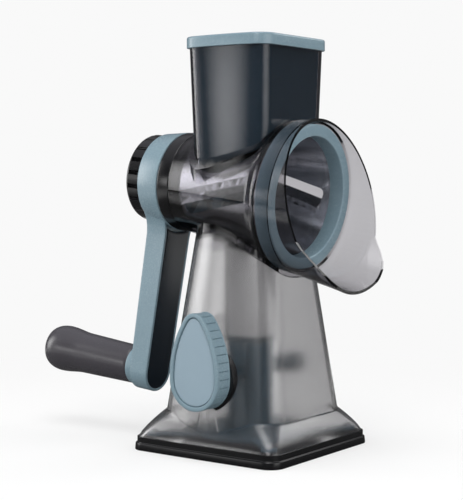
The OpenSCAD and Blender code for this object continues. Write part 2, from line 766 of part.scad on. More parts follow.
module grip_collar() color(BLUE_GREY) on_grip() difference() {
    rotate_extrude() polygon([
        [0, disc_rear_s - collar_len], [grip_r - disc_edge, disc_rear_s - collar_len],
        [grip_r, disc_rear_s - collar_len + disc_edge], [grip_r, disc_rear_s], [0, disc_rear_s]]);
    bar(disc_rear_s - collar_len - over, disc_rear_s + over, spindle_r + fit);
}

module grip_spindle() color(STEEL) on_grip() {
    bar(grip_rear_s + end_cap_depth + slide_gap, disc_rear_s + spindle_seat - slide_gap, spindle_r);
    bar(grip_rear_s + end_cap_depth + slide_gap, grip_rear_s + end_cap_depth + slide_gap + spindle_head_t, spindle_head_r);
}

// Radius of the grip, from the arm (0) to its end (1)
function grip_at(t) =
    t < grip_flare_share ? grip_r + (grip_mid_r - grip_r) * t / grip_flare_share
    : t < grip_round_share
        ? grip_mid_r + (grip_end_r - grip_mid_r) * ease((t - grip_flare_share) / (grip_round_share - grip_flare_share))
        : let (u = (t - grip_round_share) / (1 - grip_round_share))
            grip_end_r - grip_round_in * (1 - sqrt(1 - u * u));

module grip() color(CHARCOAL) on_grip() difference() {
    rotate_extrude() polygon(concat([[0, grip_front_s]],
        [for (i = [0 : 2 * curve_steps]) let (t = i / (2 * curve_steps)) [grip_at(t), grip_front_s - grip_len * t]],
        [[0, grip_rear_s]]));
    bar(grip_rear_s - over, grip_front_s + over, spindle_r + run_fit);
    bar(grip_rear_s - over, grip_rear_s + end_cap_depth + 2 * slide_gap + spindle_head_t, spindle_head_r + slide_gap);
    bar(grip_rear_s - over, grip_rear_s + end_cap_t, end_cap_r + fit);
}

module grip_end_cap() color(CHARCOAL) on_grip() rotate_extrude() polygon([
    [0, grip_rear_s - disc_edge], [end_cap_r / 2, grip_rear_s - disc_edge * 3 / 4], [end_cap_r, grip_rear_s],
    [end_cap_r, grip_rear_s + end_cap_t], [0, grip_rear_s + end_cap_t]]);

module lock_knob() color(BLACK) on_crank() difference() {
    union() {
        rotate_extrude() polygon([
            [0, lock_rear_s], [lock_r - disc_edge, lock_rear_s], [lock_r, lock_rear_s + disc_edge],
            [lock_r, lock_front_s], [0, lock_front_s]]);
        bar(lock_front_s - over, disc_rear_s + lock_hub_len - slide_gap, lock_hub_r);
    }
    for (i = [0 : lock_ribs - 1]) rotate([0, 0, 360 * i / lock_ribs])
        translate([lock_r, 0, 0]) bar(lock_rear_s - over, lock_front_s + over, lock_groove_r);
    bar(lock_rear_s + lock_wall, disc_rear_s + lock_hub_len + over, shaft_r + slide_gap);
    bar(lock_rear_s - over, lock_rear_s + lock_dish_depth, lock_dish_r);
}

// Steel cone, solid or as a shell, and its copy turned about a line along the blade
module cone_shell() difference() {
    translate([0, 0, drum_rear_s]) cylinder(h = drum_len, r1 = drum_rear_r, r2 = drum_front_r);
    translate([0, 0, drum_rear_s - over]) cylinder(h = drum_len + 2 * over,
        r1 = drum_r(drum_rear_s - over) - drum_t, r2 = drum_r(drum_front_s + over) - drum_t);
}

// Frame of one blade: its long side along Z, the cone's surface at y = 0
module on_blade() translate([0, drum_r(blade_mid_s), blade_mid_s]) rotate([-atan(drum_taper), 0, 0])
    rotate([0, blade_helix, 0]) children();
module off_blade() rotate([0, -blade_helix, 0]) rotate([atan(drum_taper), 0, 0])
    translate([0, -drum_r(blade_mid_s), -blade_mid_s]) children();

// Prism of a blade's slot through the shell, with rounded corners, grown by grow
module slot_prism(grow) {
    half_w = blade_w / 2 + grow;
    half_len = blade_len / 2 + grow;
    r = blade_round_r + grow;
    depth = drum_rear_r / 2;
    translate([0, depth, 0]) rotate([90, 0, 0]) linear_extrude(2 * depth) {
        square([2 * half_w, 2 * (half_len - r)], center = true);
        square([2 * (half_w - r), 2 * half_len], center = true);
        for (x = [r - half_w, half_w - r], y = [r - half_len, half_len - r]) translate([x, y]) circle(r = r);
    }
}

// Strip of the cone inside the slot, tilted about its long edge at pivot_x, which lies drop below the surface
module bent_strip(x0, pivot_x, drop, angle) intersection() {
    translate([pivot_x, -drop, 0]) rotate([0, 0, angle]) translate([-pivot_x, 0, 0]) off_blade() cone_shell();
    slot_prism(strip_lap);
    translate([x0, -drum_rear_r / 2, -blade_len]) cube([pivot_x - x0 + drum_t / 2, drum_rear_r, 2 * blade_len]);
}

// Each slot is pressed in along one side, and its strip bends out again to the cutting edge
module drum_cone() color(STEEL) on_axis() {
    root_x = blade_w / 2;
    fold_x = root_x - blade_w * ramp_w_share;
    edge_x = fold_x - blade_w * edge_w_share;
    difference() {
        cone_shell();
        for (i = [0 : blade_count - 1]) rotate([0, 0, blade_phase + 90 + 360 * i / blade_count])
            on_blade() slot_prism(0);
    }
    for (i = [0 : blade_count - 1]) rotate([0, 0, blade_phase + 90 + 360 * i / blade_count]) on_blade() {
        bent_strip(fold_x, root_x, root_drop, atan((ramp_drop - root_drop) / (root_x - fold_x)));
        bent_strip(edge_x, fold_x, ramp_drop, -atan((ramp_drop + blade_rise) / (fold_x - edge_x)));
    }
}

module drum_front_ring() color(BLUE_GREY) on_axis() rotate_extrude() polygon([
    [ring_bore_r, ring_rear_s], [ring_neck_r, ring_rear_s], [ring_neck_r, drum_front_s + slide_gap],
    [ring_r - ring_wall, drum_front_s + slide_gap], [ring_r - ring_wall, ring_rear_s], [ring_r, ring_rear_s],
    [ring_r, ring_front_s - ring_edge], [ring_r - ring_edge / 3, ring_front_s - ring_edge / 3],
    [ring_r - ring_edge, ring_front_s], [ring_bore_r + ring_edge, ring_front_s],
    [ring_bore_r + ring_edge / 3, ring_front_s - ring_edge / 3], [ring_bore_r, ring_front_s - ring_edge]]);

// The hub's bore lies as the six-sided shaft does
module drum_rear_hub() color(DARK_SLATE) on_crank() difference() {
    union() {
        translate([0, 0, drum_rear_s]) cylinder(h = hub_t, r1 = drum_rear_r - drum_t - fit,
            r2 = drum_r(drum_rear_s + hub_t) - drum_t - fit);
        bar(drum_rear_s, drum_rear_s + hub_t + hub_boss_len, hub_boss_r);
        for (i = [0 : hub_ribs - 1]) rotate([0, 0, 360 * i / hub_ribs])
            translate([0, -hub_rib_w / 2, drum_rear_s]) cube([drum_rear_r - 2 * drum_t, hub_rib_w, hub_t + hub_rib_h]);
    }
    six_sided(drum_rear_s - over, shaft_front_s + fit, shaft_r + fit);
}

module drive_shaft() color(STEEL) on_crank() six_sided(shaft_rear_s, shaft_front_s, shaft_r);

// Room that the turning blades need, grown by grow
module blade_room(grow) on_axis() translate([0, 0, drum_rear_s - drum_len]) cylinder(h = 3 * drum_len,
    r1 = drum_r(drum_rear_s - drum_len) + blade_rise + grow, r2 = drum_r(drum_rear_s + 2 * drum_len) + blade_rise + grow);

module pusher_body() color(DARK_SLATE) difference() {
    chute_solid(-chute_wall - pusher_gap, chute_top_z + cap_seat_gap);
    blade_room(pusher_drum_gap);
    difference() {
        chute_solid(-chute_wall - pusher_gap - pusher_wall, chute_top_z + over);
        blade_room(pusher_drum_gap + pusher_floor);
    }
}

module pusher_cap() color(BLUE_GREY) {
    z0 = chute_top_z + cap_seat_gap;
    translate([0, -chute_shift, z0]) loft(concat(
        [level(chute_w / 2 + cap_over, chute_d / 2 + cap_over, chute_r + cap_over, chute_bow, 0)],
        [for (a = [0 : 30 : 90]) let (grow = cap_over - cap_soft * (1 - cos(a)))
            level(chute_w / 2 + grow, chute_d / 2 + grow, chute_r + grow, chute_bow,
                cap_h - cap_soft * (1 - sin(a)))]));
    translate([0, -chute_shift, z0 - cap_plug_h]) linear_extrude(cap_plug_h)
        let (in = chute_wall + pusher_gap + pusher_wall + cap_plug_h * tan(chute_draft) + fit)
        polygon(bowed_outline(chute_w / 2 - in, chute_d / 2 - in, chute_r - in, chute_bow));
}

module knob_slice(inset, x0, x1) on_cam() along_x(x0, x1) polygon(egg_outline(inset));

module suction_knob() color(BLUE_GREY) {
    front_x = -knob_back_x - knob_t;
    difference() {
        union() {
            knob_slice(0, front_x + knob_edge, -knob_back_x);
            knob_slice(knob_edge, front_x, front_x + knob_t / 2);
        }
        knob_slice(knob_border, front_x - over, front_x + face_recess + face_t);
        on_cam() for (i = [0 : knob_grooves - 1]) let (d = 2 * egg_half_len * (i + 1 / 2) / knob_grooves,
            p = egg_at(d < egg_half_len ? d : 2 * egg_half_len - d), y = d < egg_half_len ? p[0] : -p[0])
            translate([0, y, p[1]]) bar_x(front_x + groove_stop, -knob_back_x + over, groove_r);
        on_cam() bar_x(-knob_back_x - knob_hub_depth, -knob_back_x + over, cam_shaft_r + fit);
    }
}

module knob_face() color("#93a4b0") knob_slice(knob_border + fit, -knob_back_x - knob_t + face_recess,
    -knob_back_x - knob_t + face_recess + face_t);

module cam_shaft() color(DARK_SLATE) on_cam()
    bar_x(-knob_back_x - knob_hub_depth + slide_gap, bearing_rear_x - bearing_end - slide_gap, cam_shaft_r);

module cam() color(STEEL) on_cam() difference() {
    translate([0, cam_offset * cos(cam_phase), -cam_offset * sin(cam_phase)]) bar_x(-cam_t / 2, cam_t / 2, cam_r);
    bar_x(-cam_t, cam_t, cam_shaft_r + run_fit);
}

module pull_rod() color(DARK_SLATE) difference() {
    union() {
        translate([-yoke_w / 2, -yoke_w / 2, yoke_z - yoke_half_h]) cube([yoke_w, yoke_w, 2 * yoke_half_h]);
        translate([0, 0, lift_plate_top]) cylinder(h = yoke_z - lift_plate_top, r = rod_r);
    }
    translate([-yoke_w, -yoke_window_w / 2, yoke_z - yoke_window_h / 2])
        cube([2 * yoke_w, yoke_window_w, yoke_window_h]);
}

module lift_plate() color(STEEL) translate([0, 0, lift_plate_z]) cylinder(h = lift_plate_t, r = lift_plate_r);

base_trim();
suction_pad();
base_plate();
base_screws();
column_screws();
stand_shell();
guide_column();
support_tube();
knob_seat();
shaft_bearing();
drum_housing();
rear_cap();
sleeve_bush();
crank_arm();
arm_cover();
grip_collar();
grip_spindle();
grip();
grip_end_cap();
lock_knob();
drum_cone();
drum_front_ring();
drum_rear_hub();
drive_shaft();
pusher_body();
pusher_cap();
suction_knob();
knob_face();
cam_shaft();
cam();
pull_rod();
lift_plate();
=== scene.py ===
# %% [markdown]
# # Rotary cabbage shredder
# A table-top shredder: a crank turns a bladed steel cone inside a clear housing, which stands on
# a hollow, frosted stand with a suction foot. The CAD model gives every size and place. This
# lesson gives its pieces their rounded edges, their finishes and the light.

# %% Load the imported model
import json
import math
import bmesh
import bpy
from mathutils import Matrix, Vector

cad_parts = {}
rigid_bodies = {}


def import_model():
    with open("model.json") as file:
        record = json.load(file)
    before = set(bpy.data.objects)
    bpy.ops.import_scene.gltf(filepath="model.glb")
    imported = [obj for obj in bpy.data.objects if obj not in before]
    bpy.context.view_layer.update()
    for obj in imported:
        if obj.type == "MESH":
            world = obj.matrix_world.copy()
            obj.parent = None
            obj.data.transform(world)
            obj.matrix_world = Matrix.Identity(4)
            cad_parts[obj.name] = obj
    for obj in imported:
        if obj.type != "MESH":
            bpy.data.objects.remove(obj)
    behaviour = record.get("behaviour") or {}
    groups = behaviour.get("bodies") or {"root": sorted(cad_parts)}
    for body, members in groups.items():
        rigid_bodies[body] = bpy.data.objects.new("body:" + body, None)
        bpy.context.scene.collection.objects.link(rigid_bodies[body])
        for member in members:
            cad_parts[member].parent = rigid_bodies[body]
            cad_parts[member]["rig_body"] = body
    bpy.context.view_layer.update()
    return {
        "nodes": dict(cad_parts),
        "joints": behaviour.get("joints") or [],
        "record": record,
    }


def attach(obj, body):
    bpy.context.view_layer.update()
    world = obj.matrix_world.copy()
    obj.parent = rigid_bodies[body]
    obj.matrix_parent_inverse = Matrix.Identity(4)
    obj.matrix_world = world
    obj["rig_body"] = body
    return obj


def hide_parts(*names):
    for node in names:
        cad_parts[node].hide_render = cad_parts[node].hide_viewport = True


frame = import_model()
nodes = frame["nodes"]
slot_of = {part["node"]: part["material_slot"] for part in frame["record"]["subparts"]}

# %% [markdown]
# ## Units and frames
# The sizes below are in millimetres, as in the CAD source, and a mesh is scaled to metres when it
# is made. The cone, the crank and the knob each have a frame of their own: Z runs along the shaft,
# Y points up and X to the side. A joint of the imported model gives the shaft, so nothing is fitted.

# %% Frames of the drum, the crank, the grip and the suction knob
MM = 0.001


def joint(name):
    return next(j for j in frame["joints"] if j["name"] == name)


def place_from(name):
    """Frame of a joint, in millimetres: Z along its axis, X level."""
    z = Vector(joint(name)["axis"]).normalized()
    x = Vector((0, 0, 1)).cross(z).normalized()
    turn = Matrix((x, z.cross(x), z)).transposed().to_4x4()
    return Matrix.Translation(Vector(joint(name)["pos_m"]) / MM) @ turn


AXIS = place_from("crank_turn")
grip_at = AXIS.inverted() @ (Vector(joint("grip_spin")["pos_m"]) / MM)
ARM_REACH = math.hypot(grip_at.x, grip_at.y)
CRANK = AXIS @ Matrix.Rotation(math.atan2(grip_at.x, -grip_at.y), 4, "Z")
GRIP = CRANK @ Matrix.Translation((0, -ARM_REACH, 0))
knob_pos = Vector(joint("knob_turn")["pos_m"]) / MM
KNOB = Matrix.Translation(knob_pos) @ Matrix(((0, 0, -1, 0), (-1, 0, 0, 0), (0, 1, 0, 0), (0, 0, 0, 1)))
BASE = Matrix.Identity(4)
print("crank reach, mm:", round(ARM_REACH, 1))


def reach(node, place):
    """Lowest and highest corner of a CAD node in a frame, in millimetres."""
    back = place.inverted()
    points = [back @ (v.co / MM) for v in nodes[node].data.vertices]
    return [Vector([pick(p[k] for p in points) for k in range(3)]) for pick in (min, max)]


# %% [markdown]
# ## Colours and nodes
# A colour is written as the sRGB hex value that one sees, and turned to the linear value that the
# renderer works with. One small function adds any node, sets its inputs and links it up.

# %% Helpers for node trees
def linear(hex_code):
    """Linear colour with alpha from an sRGB hex value."""
    parts = [int(hex_code[i:i + 2], 16) / 255 for i in (1, 3, 5)]
    return [c / 12.92 if c <= 0.04045 else ((c + 0.055) / 1.055) ** 2.4 for c in parts] + [1]


def add(tree, kind, values=None, links=None, **settings):
    """Add a node, set its attributes and input values, and link sockets into it."""
    node = tree.nodes.new(kind)
    for key, value in settings.items():
        setattr(node, key, value)
    for key, value in (values or {}).items():
        node.inputs[key].default_value = value
    for key, socket in (links or {}).items():
        tree.links.new(socket, node.inputs[key])
    return node


def new_finish(name):
    """Empty material: its tree and its shader, already linked to the output."""
    finish = bpy.data.materials.new(name)
    finish.use_nodes = True
    tree = finish.node_tree
    tree.nodes.clear()
    shader = add(tree, "ShaderNodeBsdfPrincipled")
    add(tree, "ShaderNodeOutputMaterial", links={"Surface": shader.outputs[0]}, name="output")
    return finish, tree, shader


def per_mm(size):
    """Noise scale whose grain is that many millimetres across."""
    return 1 / (size * MM)


# %% [markdown]
# ## Moulded plastics
# The opaque pieces are injection-moulded ABS and nylon. A mould gives the skin a fine, even grain,
# which breaks up the gloss a little, and the melt leaves broad, faint clouds of colour. Both come
# from noise on Object coordinates, so that the pattern stays fixed to the piece. The real grain of
# about 0.2 mm is too fine to show, so it is drawn at 0.7 mm.

# %% Finish for moulded plastics
GRAIN, GRAIN_DEPTH = 0.7, 0.0015
CLOUD, CLOUD_SHARE = 24.0, 0.05
PLASTIC_IOR = 1.53


def moulded(name, hex_code, roughness):
    finish, tree, shader = new_finish(name)
    where = add(tree, "ShaderNodeTexCoord").outputs["Object"]
    grain = add(tree, "ShaderNodeTexNoise", {"Scale": per_mm(GRAIN), "Detail": 2.0}, {"Vector": where})
    cloud = add(tree, "ShaderNodeTexNoise", {"Scale": per_mm(CLOUD), "Detail": 3.0}, {"Vector": where})
    base = linear(hex_code)
    dim = [c * (1 - CLOUD_SHARE) for c in base[:3]] + [1]
    bright = [min(1, c * (1 + CLOUD_SHARE)) for c in base[:3]] + [1]
    tone = add(tree, "ShaderNodeMixRGB", {"Color1": dim, "Color2": bright}, {"Fac": cloud.outputs[0]})
    rough = add(tree, "ShaderNodeMapRange", {"To Min": roughness * 0.85, "To Max": roughness * 1.15},
                {"Value": grain.outputs[0]})
    skin = add(tree, "ShaderNodeBump", {"Strength": 1.0, "Distance": GRAIN_DEPTH * MM},
               {"Height": grain.outputs[0]})
    for socket, source in (("Base Color", tone), ("Roughness", rough), ("Normal", skin)):
        tree.links.new(source.outputs[0], shader.inputs[socket])
    shader.inputs["IOR"].default_value = PLASTIC_IOR
    return finish


# %% [markdown]
# ## Smoky plastics
# The housing is clear, smoke-tinted SAN, polished in the mould. SAN has an IOR of 1.57, and the
# housing takes 1.42 because the photo shows the steel through a calm, faint gloss. The stand is
# the same resin from a fine-blasted mould: its rough skin scatters what lies behind it, so the
# column inside shows only as a soft shadow. The smoke is in the resin, so most of the tint is
# absorption, a share per millimetre: a wall of 2 mm stays light, and edges and grazing walls, where
# light travels far inside, turn dark. A melt also flows a little unevenly, which leaves broad,
# faint waves.

# %% Finish for clear and frosted plastics
SAN_IOR, FLOW = 1.57, 30.0
SMOKE = "#6c686f"


def see_through(name, hex_code, roughness, loss, ripple=0.0, ior=SAN_IOR):
    finish, tree, shader = new_finish(name)
    smoke = add(tree, "ShaderNodeVolumeAbsorption", {"Color": linear(SMOKE), "Density": loss / MM})
    tree.links.new(smoke.outputs[0], tree.nodes["output"].inputs["Volume"])
    where = add(tree, "ShaderNodeTexCoord").outputs["Object"]
    flow = add(tree, "ShaderNodeTexNoise", {"Scale": per_mm(FLOW), "Detail": 1.0}, {"Vector": where})
    rough = add(tree, "ShaderNodeMapRange", {"To Min": roughness * 0.9, "To Max": roughness * 1.1},
                {"Value": flow.outputs[0]})
    wave = add(tree, "ShaderNodeBump", {"Strength": 1.0, "Distance": ripple * MM},
               {"Height": flow.outputs[0]})
    tree.links.new(rough.outputs[0], shader.inputs["Roughness"])
    tree.links.new(wave.outputs[0], shader.inputs["Normal"])
    for socket, value in (("Base Color", linear(hex_code)), ("IOR", ior), ("Transmission Weight", 1.0)):
        shader.inputs[socket].default_value = value
    return finish


# %% [markdown]
# ## Spun steel
# The cone is rolled from stainless sheet and polished on a spindle, which leaves fine rings round
# its axis. They are noise that changes fast along the axis and slowly across it: a Mapping node
# turns the pattern to the axis and stretches it fifty times. Real lines are about 0.1 mm apart, and
# they are drawn 1.4 mm apart to show. A metal keeps the default IOR.

# %% Finish for stainless steel
LINE, LINE_DEPTH, LINE_STRETCH = 1.4, 0.012, 50.0


def spun_steel(name, hex_code, roughness, along):
    finish, tree, shader = new_finish(name)
    where = add(tree, "ShaderNodeTexCoord").outputs["Object"]
    stretch = (LINE_STRETCH, LINE_STRETCH, 1.0)
    turned = add(tree, "ShaderNodeMapping", {"Rotation": along.to_euler(), "Scale": stretch},
                 {"Vector": where}, vector_type="TEXTURE")
    lines = add(tree, "ShaderNodeTexNoise", {"Scale": per_mm(LINE), "Detail": 3.0},
                {"Vector": turned.outputs[0]})
    rough = add(tree, "ShaderNodeMapRange", {"To Min": roughness * 0.7, "To Max": roughness * 1.3},
                {"Value": lines.outputs[0]})
    ridge = add(tree, "ShaderNodeBump", {"Strength": 1.0, "Distance": LINE_DEPTH * MM},
                {"Height": lines.outputs[0]})
    tree.links.new(rough.outputs[0], shader.inputs["Roughness"])
    tree.links.new(ridge.outputs[0], shader.inputs["Normal"])
    shader.inputs["Base Color"].default_value = linear(hex_code)
    shader.inputs["Metallic"].default_value = 1.0
    return finish


# %% [markdown]
# ## The finishes of this shredder
# Each material slot of the record gets one finish, named for its material and surface. Satin ABS has
# a soft sheen, and gloss ABS draws each lamp as a clear band. Nylon on the grip is a little warmer
# and duller. Acetal, a slippery, milky white, is for the hidden working pieces, and soft rubber takes
# the light in. Frosted SAN blurs what stands behind it, and clear SAN shows it.

# %% One finish for each material slot of the record
FINISH = {
    "blue_grey_plastic": moulded("satin_abs_blue_grey", "#7b929d", 0.27),
    "face_plastic": moulded("satin_abs_pale_blue_grey", "#8fa4b1", 0.42),
    "slate_plastic": moulded("gloss_abs_slate", "#334652", 0.22),
    "navy_plastic": moulded("gloss_abs_navy", "#0f1820", 0.2),
    "black_plastic": moulded("gloss_abs_black", "#0c0c0e", 0.2),
    "grip_plastic": moulded("satin_nylon_charcoal", "#434146", 0.26),
    "white_plastic": moulded("natural_acetal", "#e2e2dc", 0.4),
    "pad_rubber": moulded("soft_rubber", "#2a2b2e", 0.6),
    "smoke_plastic": see_through("frosted_smoke_san", "#fafafa", 0.19, 0.14),
    "clear_plastic": see_through("clear_smoke_san", "#f8f7fa", 0.03, 0.33, 0.01, 1.42),
    "stainless_steel": spun_steel("spun_stainless_steel", "#d3d4d9", 0.2, AXIS),
}
print("finishes:", len(FINISH))

# %% [markdown]
# ## Making a mesh
# Most pieces are lathed from a profile or lofted through outlines. A form is a list of points in
# millimetres and a list of faces. `make` joins forms into one mesh, merges doubled points and
# turns all faces outwards.

# %% Helpers for forms
TURNS = 144
SHARP = math.radians(32)


def lathe(profile, turns=TURNS, ring=False):
    """Form revolved about Z from (radius, height) points; a ring's profile is closed."""
    points, rows, faces = [], [], []
    for r, s in profile:
        count = 1 if r < 1e-6 else turns
        rows.append([len(points) + i for i in range(count)])
        points += [(r * math.cos(2 * math.pi * i / turns), r * math.sin(2 * math.pi * i / turns), s)
                   for i in range(count)]
    for low, high in list(zip(rows, rows[1:])) + ([(rows[-1], rows[0])] if ring else []):
        for i in range(turns):
            k = (i + 1) % turns
            corners = [low[i % len(low)], low[k % len(low)], high[k % len(high)], high[i % len(high)]]
            face = list(dict.fromkeys(corners))
            if len(face) > 2:
                faces.append(face)
    return points, faces


def loft(rings, ring=False):
    """Form through outlines of equally many points, with end faces unless it closes on itself."""
    n, m = len(rings[0]), len(rings)
    faces = [[j * n + i, j * n + (i + 1) % n, (j + 1) % m * n + (i + 1) % n, (j + 1) % m * n + i]
             for j in range(m if ring else m - 1) for i in range(n)]
    if not ring:
        faces += [list(range(n - 1, -1, -1)), list(range((m - 1) * n, m * n))]
    return [p for outline in rings for p in outline], faces


def moved(form, place):
    return [place @ Vector(p) for p in form[0]], form[1]


def softened(corners, steps=4):
    """Points along (x, y, rounding) corners, each corner eased by a short curve."""
    out = []
    for i, (x, y, r) in enumerate(corners):
        here = Vector((x, y))
        if not r or i in (0, len(corners) - 1):
            out.append(here)
            continue
        legs = [Vector(corners[k][:2]) - here for k in (i - 1, i + 1)]
        half = legs[0].angle(legs[1]) / 2
        cut = min(r / math.tan(half), 0.49 * legs[0].length, 0.49 * legs[1].length)
        start, end = (here + leg.normalized() * cut for leg in legs)
        for k in range(steps + 1):
            t = k / steps
            out.append(start * (1 - t) ** 2 + here * 2 * t * (1 - t) + end * t ** 2)
    return out


# %% [markdown]
# ## True normals for CAD copies
# A CAD mesh is exact, but its long triangles shade unevenly, and gloss shows that at once. So a
# copy gets the normals of the true surface: round the drum's axis they point away from it, and on
# the chute and the tower they follow from the outline's arcs. A face keeps its own slope, and it
# takes part only where it already looks that way, so flat ends and rims stay out.

# %% Rules for normals
CLOSE = math.cos(math.radians(11))
END_ON, UPRIGHT = 0.3, 0.7


def round_rule(place):
    """Normals of cones about a frame's axis."""
    back, turn = place.inverted(), place.to_3x3()

    def rule(point, centre, normal):
        p, c, n = back @ point, back @ centre, turn.transposed() @ normal
        flat, out = Vector((n.x, n.y, 0)), Vector((c.x, c.y, 0)).normalized()
        same = flat.normalized().dot(out)
        if flat.length < END_ON or abs(same) < CLOSE:
            return None
        out = Vector((p.x, p.y, 0)).normalized() * math.copysign(flat.length, same)
        return turn @ Vector((out.x, out.y, n.z))
    return rule


def facing(x, y, cx, cy, bow):
    """Direction in which a bowed outline faces, from the centres of its corners."""
    big = (cy * cy + bow * bow) / (2 * bow)
    across, along = abs(x) - (cx + bow - big), abs(y)
    if math.atan2(along, across) > math.asin(cy / big):
        across, along = (abs(x) - cx, abs(y) - cy) if abs(x) > cx else (0, 1)
    return Vector((math.copysign(across, x), math.copysign(along, y), 0)).normalized()


def outline_rule(mid_y, low_z, high_z, shape_at):
    """Normals of a tapering bowed outline between two heights."""
    def rule(point, centre, normal):
        flat = Vector((normal.x, normal.y, 0))
        if flat.length < UPRIGHT or not low_z < centre.z < high_z:
            return None
        same = flat.normalized().dot(facing(centre.x, centre.y - mid_y, *shape_at(centre.z)))
        if abs(same) < CLOSE:
            return None
        out = facing(point.x, point.y - mid_y, *shape_at(point.z)) * math.copysign(flat.length, same)
        return Vector((out.x, out.y, normal.z))
    return rule


def true_normals(mesh, rules):
    """Set the normals that the rules give, and leave the others as they are."""
    count, normals = 0, []
    for face in mesh.polygons:
        centre = face.center / MM
        for corner in face.loop_indices:
            point = mesh.vertices[mesh.loops[corner].vertex_index].co / MM
            found = next((n for n in (rule(point, centre, face.normal) for rule in rules) if n), None)
            normals.append(found.normalized() if found else Vector((0, 0, 0)))
            count += found is not None
    mesh.normals_split_custom_set(normals)
    print(f"{mesh.name}: {count} of {len(normals)} corners with true normals")


# %% [markdown]
# ## Making an object
# Every piece is finished in the same way: smooth shading with its real edges kept sharp, the
# finish of its material slot, and the body that it rides on. A clear piece throws no shadow of its
# own, because a renderer would draw it as dark as metal's. A copy of a CAD solid is merged first,
# since its mesh is loose triangles, and its edges are rounded by a bevel.

# %% Helpers that make objects
SEE_THROUGH = ("smoke_plastic", "clear_plastic")
SAME_POINT = 1e-6
FLAT, REAL_EDGE = math.radians(0.5), math.radians(40)


def finished(piece, node, stands_for, sharp):
    """Shade a piece, give it its node's finish and let it ride in the node's place."""
    piece.data.shade_smooth()
    piece.data.set_sharp_from_angle(angle=sharp)
    piece.data.materials.clear()
    piece.data.materials.append(FINISH[slot_of[node]])
    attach(piece, nodes[node]["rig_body"])
    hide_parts(*stands_for)
    piece.visible_shadow = slot_of[node] not in SEE_THROUGH
    print(f"{piece.name}: {len(piece.data.polygons)} faces")
    return piece


def make(name, node, forms, place):
    """Piece that stands for a CAD node, from forms in a frame."""
    mesh, shape = bpy.data.meshes.new(name), bmesh.new()
    for points, faces in forms:
        corners = [shape.verts.new((place @ Vector(p)) * MM) for p in points]
        for face in faces:
            shape.faces.new([corners[i] for i in face])
    bmesh.ops.remove_doubles(shape, verts=shape.verts, dist=SAME_POINT)
    bmesh.ops.recalc_face_normals(shape, faces=shape.faces)
    shape.to_mesh(mesh)
    shape.free()
    piece = bpy.data.objects.new(name, mesh)
    bpy.context.scene.collection.objects.link(piece)
    return finished(piece, node, [node], SHARP)


def baked(piece):
    """Replace a piece's mesh by its modified one, and take the modifiers off."""
    bpy.context.view_layer.update()
    result = piece.evaluated_get(bpy.context.evaluated_depsgraph_get())
    mesh = bpy.data.meshes.new_from_object(result)
    piece.modifiers.clear()
    piece.data = mesh
    return piece


def from_cad(name, node, edge=0.0, sharp=SHARP, rules=()):
    """Copy of a CAD node with its points merged and its edges rounded by so many millimetres."""
    shape = bmesh.new()
    shape.from_mesh(nodes[node].data)
    bmesh.ops.remove_doubles(shape, verts=shape.verts, dist=SAME_POINT)
    if edge:
        bmesh.ops.dissolve_limit(shape, angle_limit=FLAT, verts=shape.verts, edges=shape.edges)
    mesh = bpy.data.meshes.new(name)
    shape.to_mesh(mesh)
    shape.free()
    piece = bpy.data.objects.new(name, mesh)
    bpy.context.scene.collection.objects.link(piece)
    if edge:
        round_off = piece.modifiers.new("rounding", "BEVEL")
        round_off.width, round_off.segments = edge * MM, 2
        round_off.limit_method, round_off.angle_limit = "ANGLE", REAL_EDGE
        baked(piece)
    finished(piece, node, [node], sharp)
    if rules:
        true_normals(piece.data, rules)
    return piece


# %% [markdown]
# ## Outlines
# The base, the chute and its cap are rounded rectangles whose left and right sides bulge a little,
# with every arc tangent to the next. A bulge keeps a moulding from looking sunken and spreads the
# reflections. The rule is the CAD source's.

# %% Outlines of arcs
def arc(x, y, r, start, end, steps):
    angles = [start + (end - start) * i / steps for i in range(steps + 1)]
    return [(x + r * math.cos(a), y + r * math.sin(a)) for a in angles]


CORNER_STEPS = 12


def bowed(hx, hy, r, bow):
    """Rounded rectangle of half sizes hx and hy, whose sides at +x and -x bulge by bow."""
    cy = hy - r
    big = (cy * cy + bow * bow) / (2 * bow)
    a = math.asin(cy / big)
    half = (arc(hx - r, -cy, r, -math.pi / 2, -a, CORNER_STEPS)
            + arc(hx + bow - big - r, 0, big + r, -a, a, CORNER_STEPS)[1:-1]
            + arc(hx - r, cy, r, a, math.pi / 2, CORNER_STEPS))
    return half + [(-x, -y) for x, y in half]


def level(outline, z):
    return [(x, y, z) for x, y in outline]


# %% [markdown]
# ## Base trim
# A glossy black frame goes round the foot in two steps. It is one profile carried round the
# rounded square: each profile point gives an inset and a height, and so one ring of the loft.
# The steps' small roundings catch the light as two thin lines. Its four screw lugs are lathed.

# %% Base trim
low, high = reach("base_trim", BASE)
BASE_HALF = high.y
STEP_Z, STEP_IN, FLARE = 5.0, 1.2, 0.5
FRAME_W, SEAT_Z, SEAT_IN = 9.5, 6.0, 2.4
trim_profile = softened([
    (FRAME_W, high.z / 3, 0), (FRAME_W, 0, 0.3), (0, 0, 0.4), (FLARE, STEP_Z, 0.7),
    (STEP_IN + FLARE, STEP_Z + 0.1, 0.5), (STEP_IN + FLARE, high.z, 0.6), (SEAT_IN, high.z, 0.2),
    (SEAT_IN, SEAT_Z, 0), (FRAME_W, SEAT_Z, 0.3), (FRAME_W, high.z / 3, 0)])
BASE_R, PLAIN_BOW = 11.0, 0.4
trim = loft([level(bowed(BASE_HALF - inset, BASE_HALF - inset, max(BASE_R - inset, 1.5), PLAIN_BOW), z)
             for inset, z in trim_profile[:-1]], ring=True)
LUG_AT, LUG_R, LUG_LOW, LUG_TOP, HOLE_R, LUG_TURNS = 49.0, 5.5, 2.0, 9.4, 1.6, 32
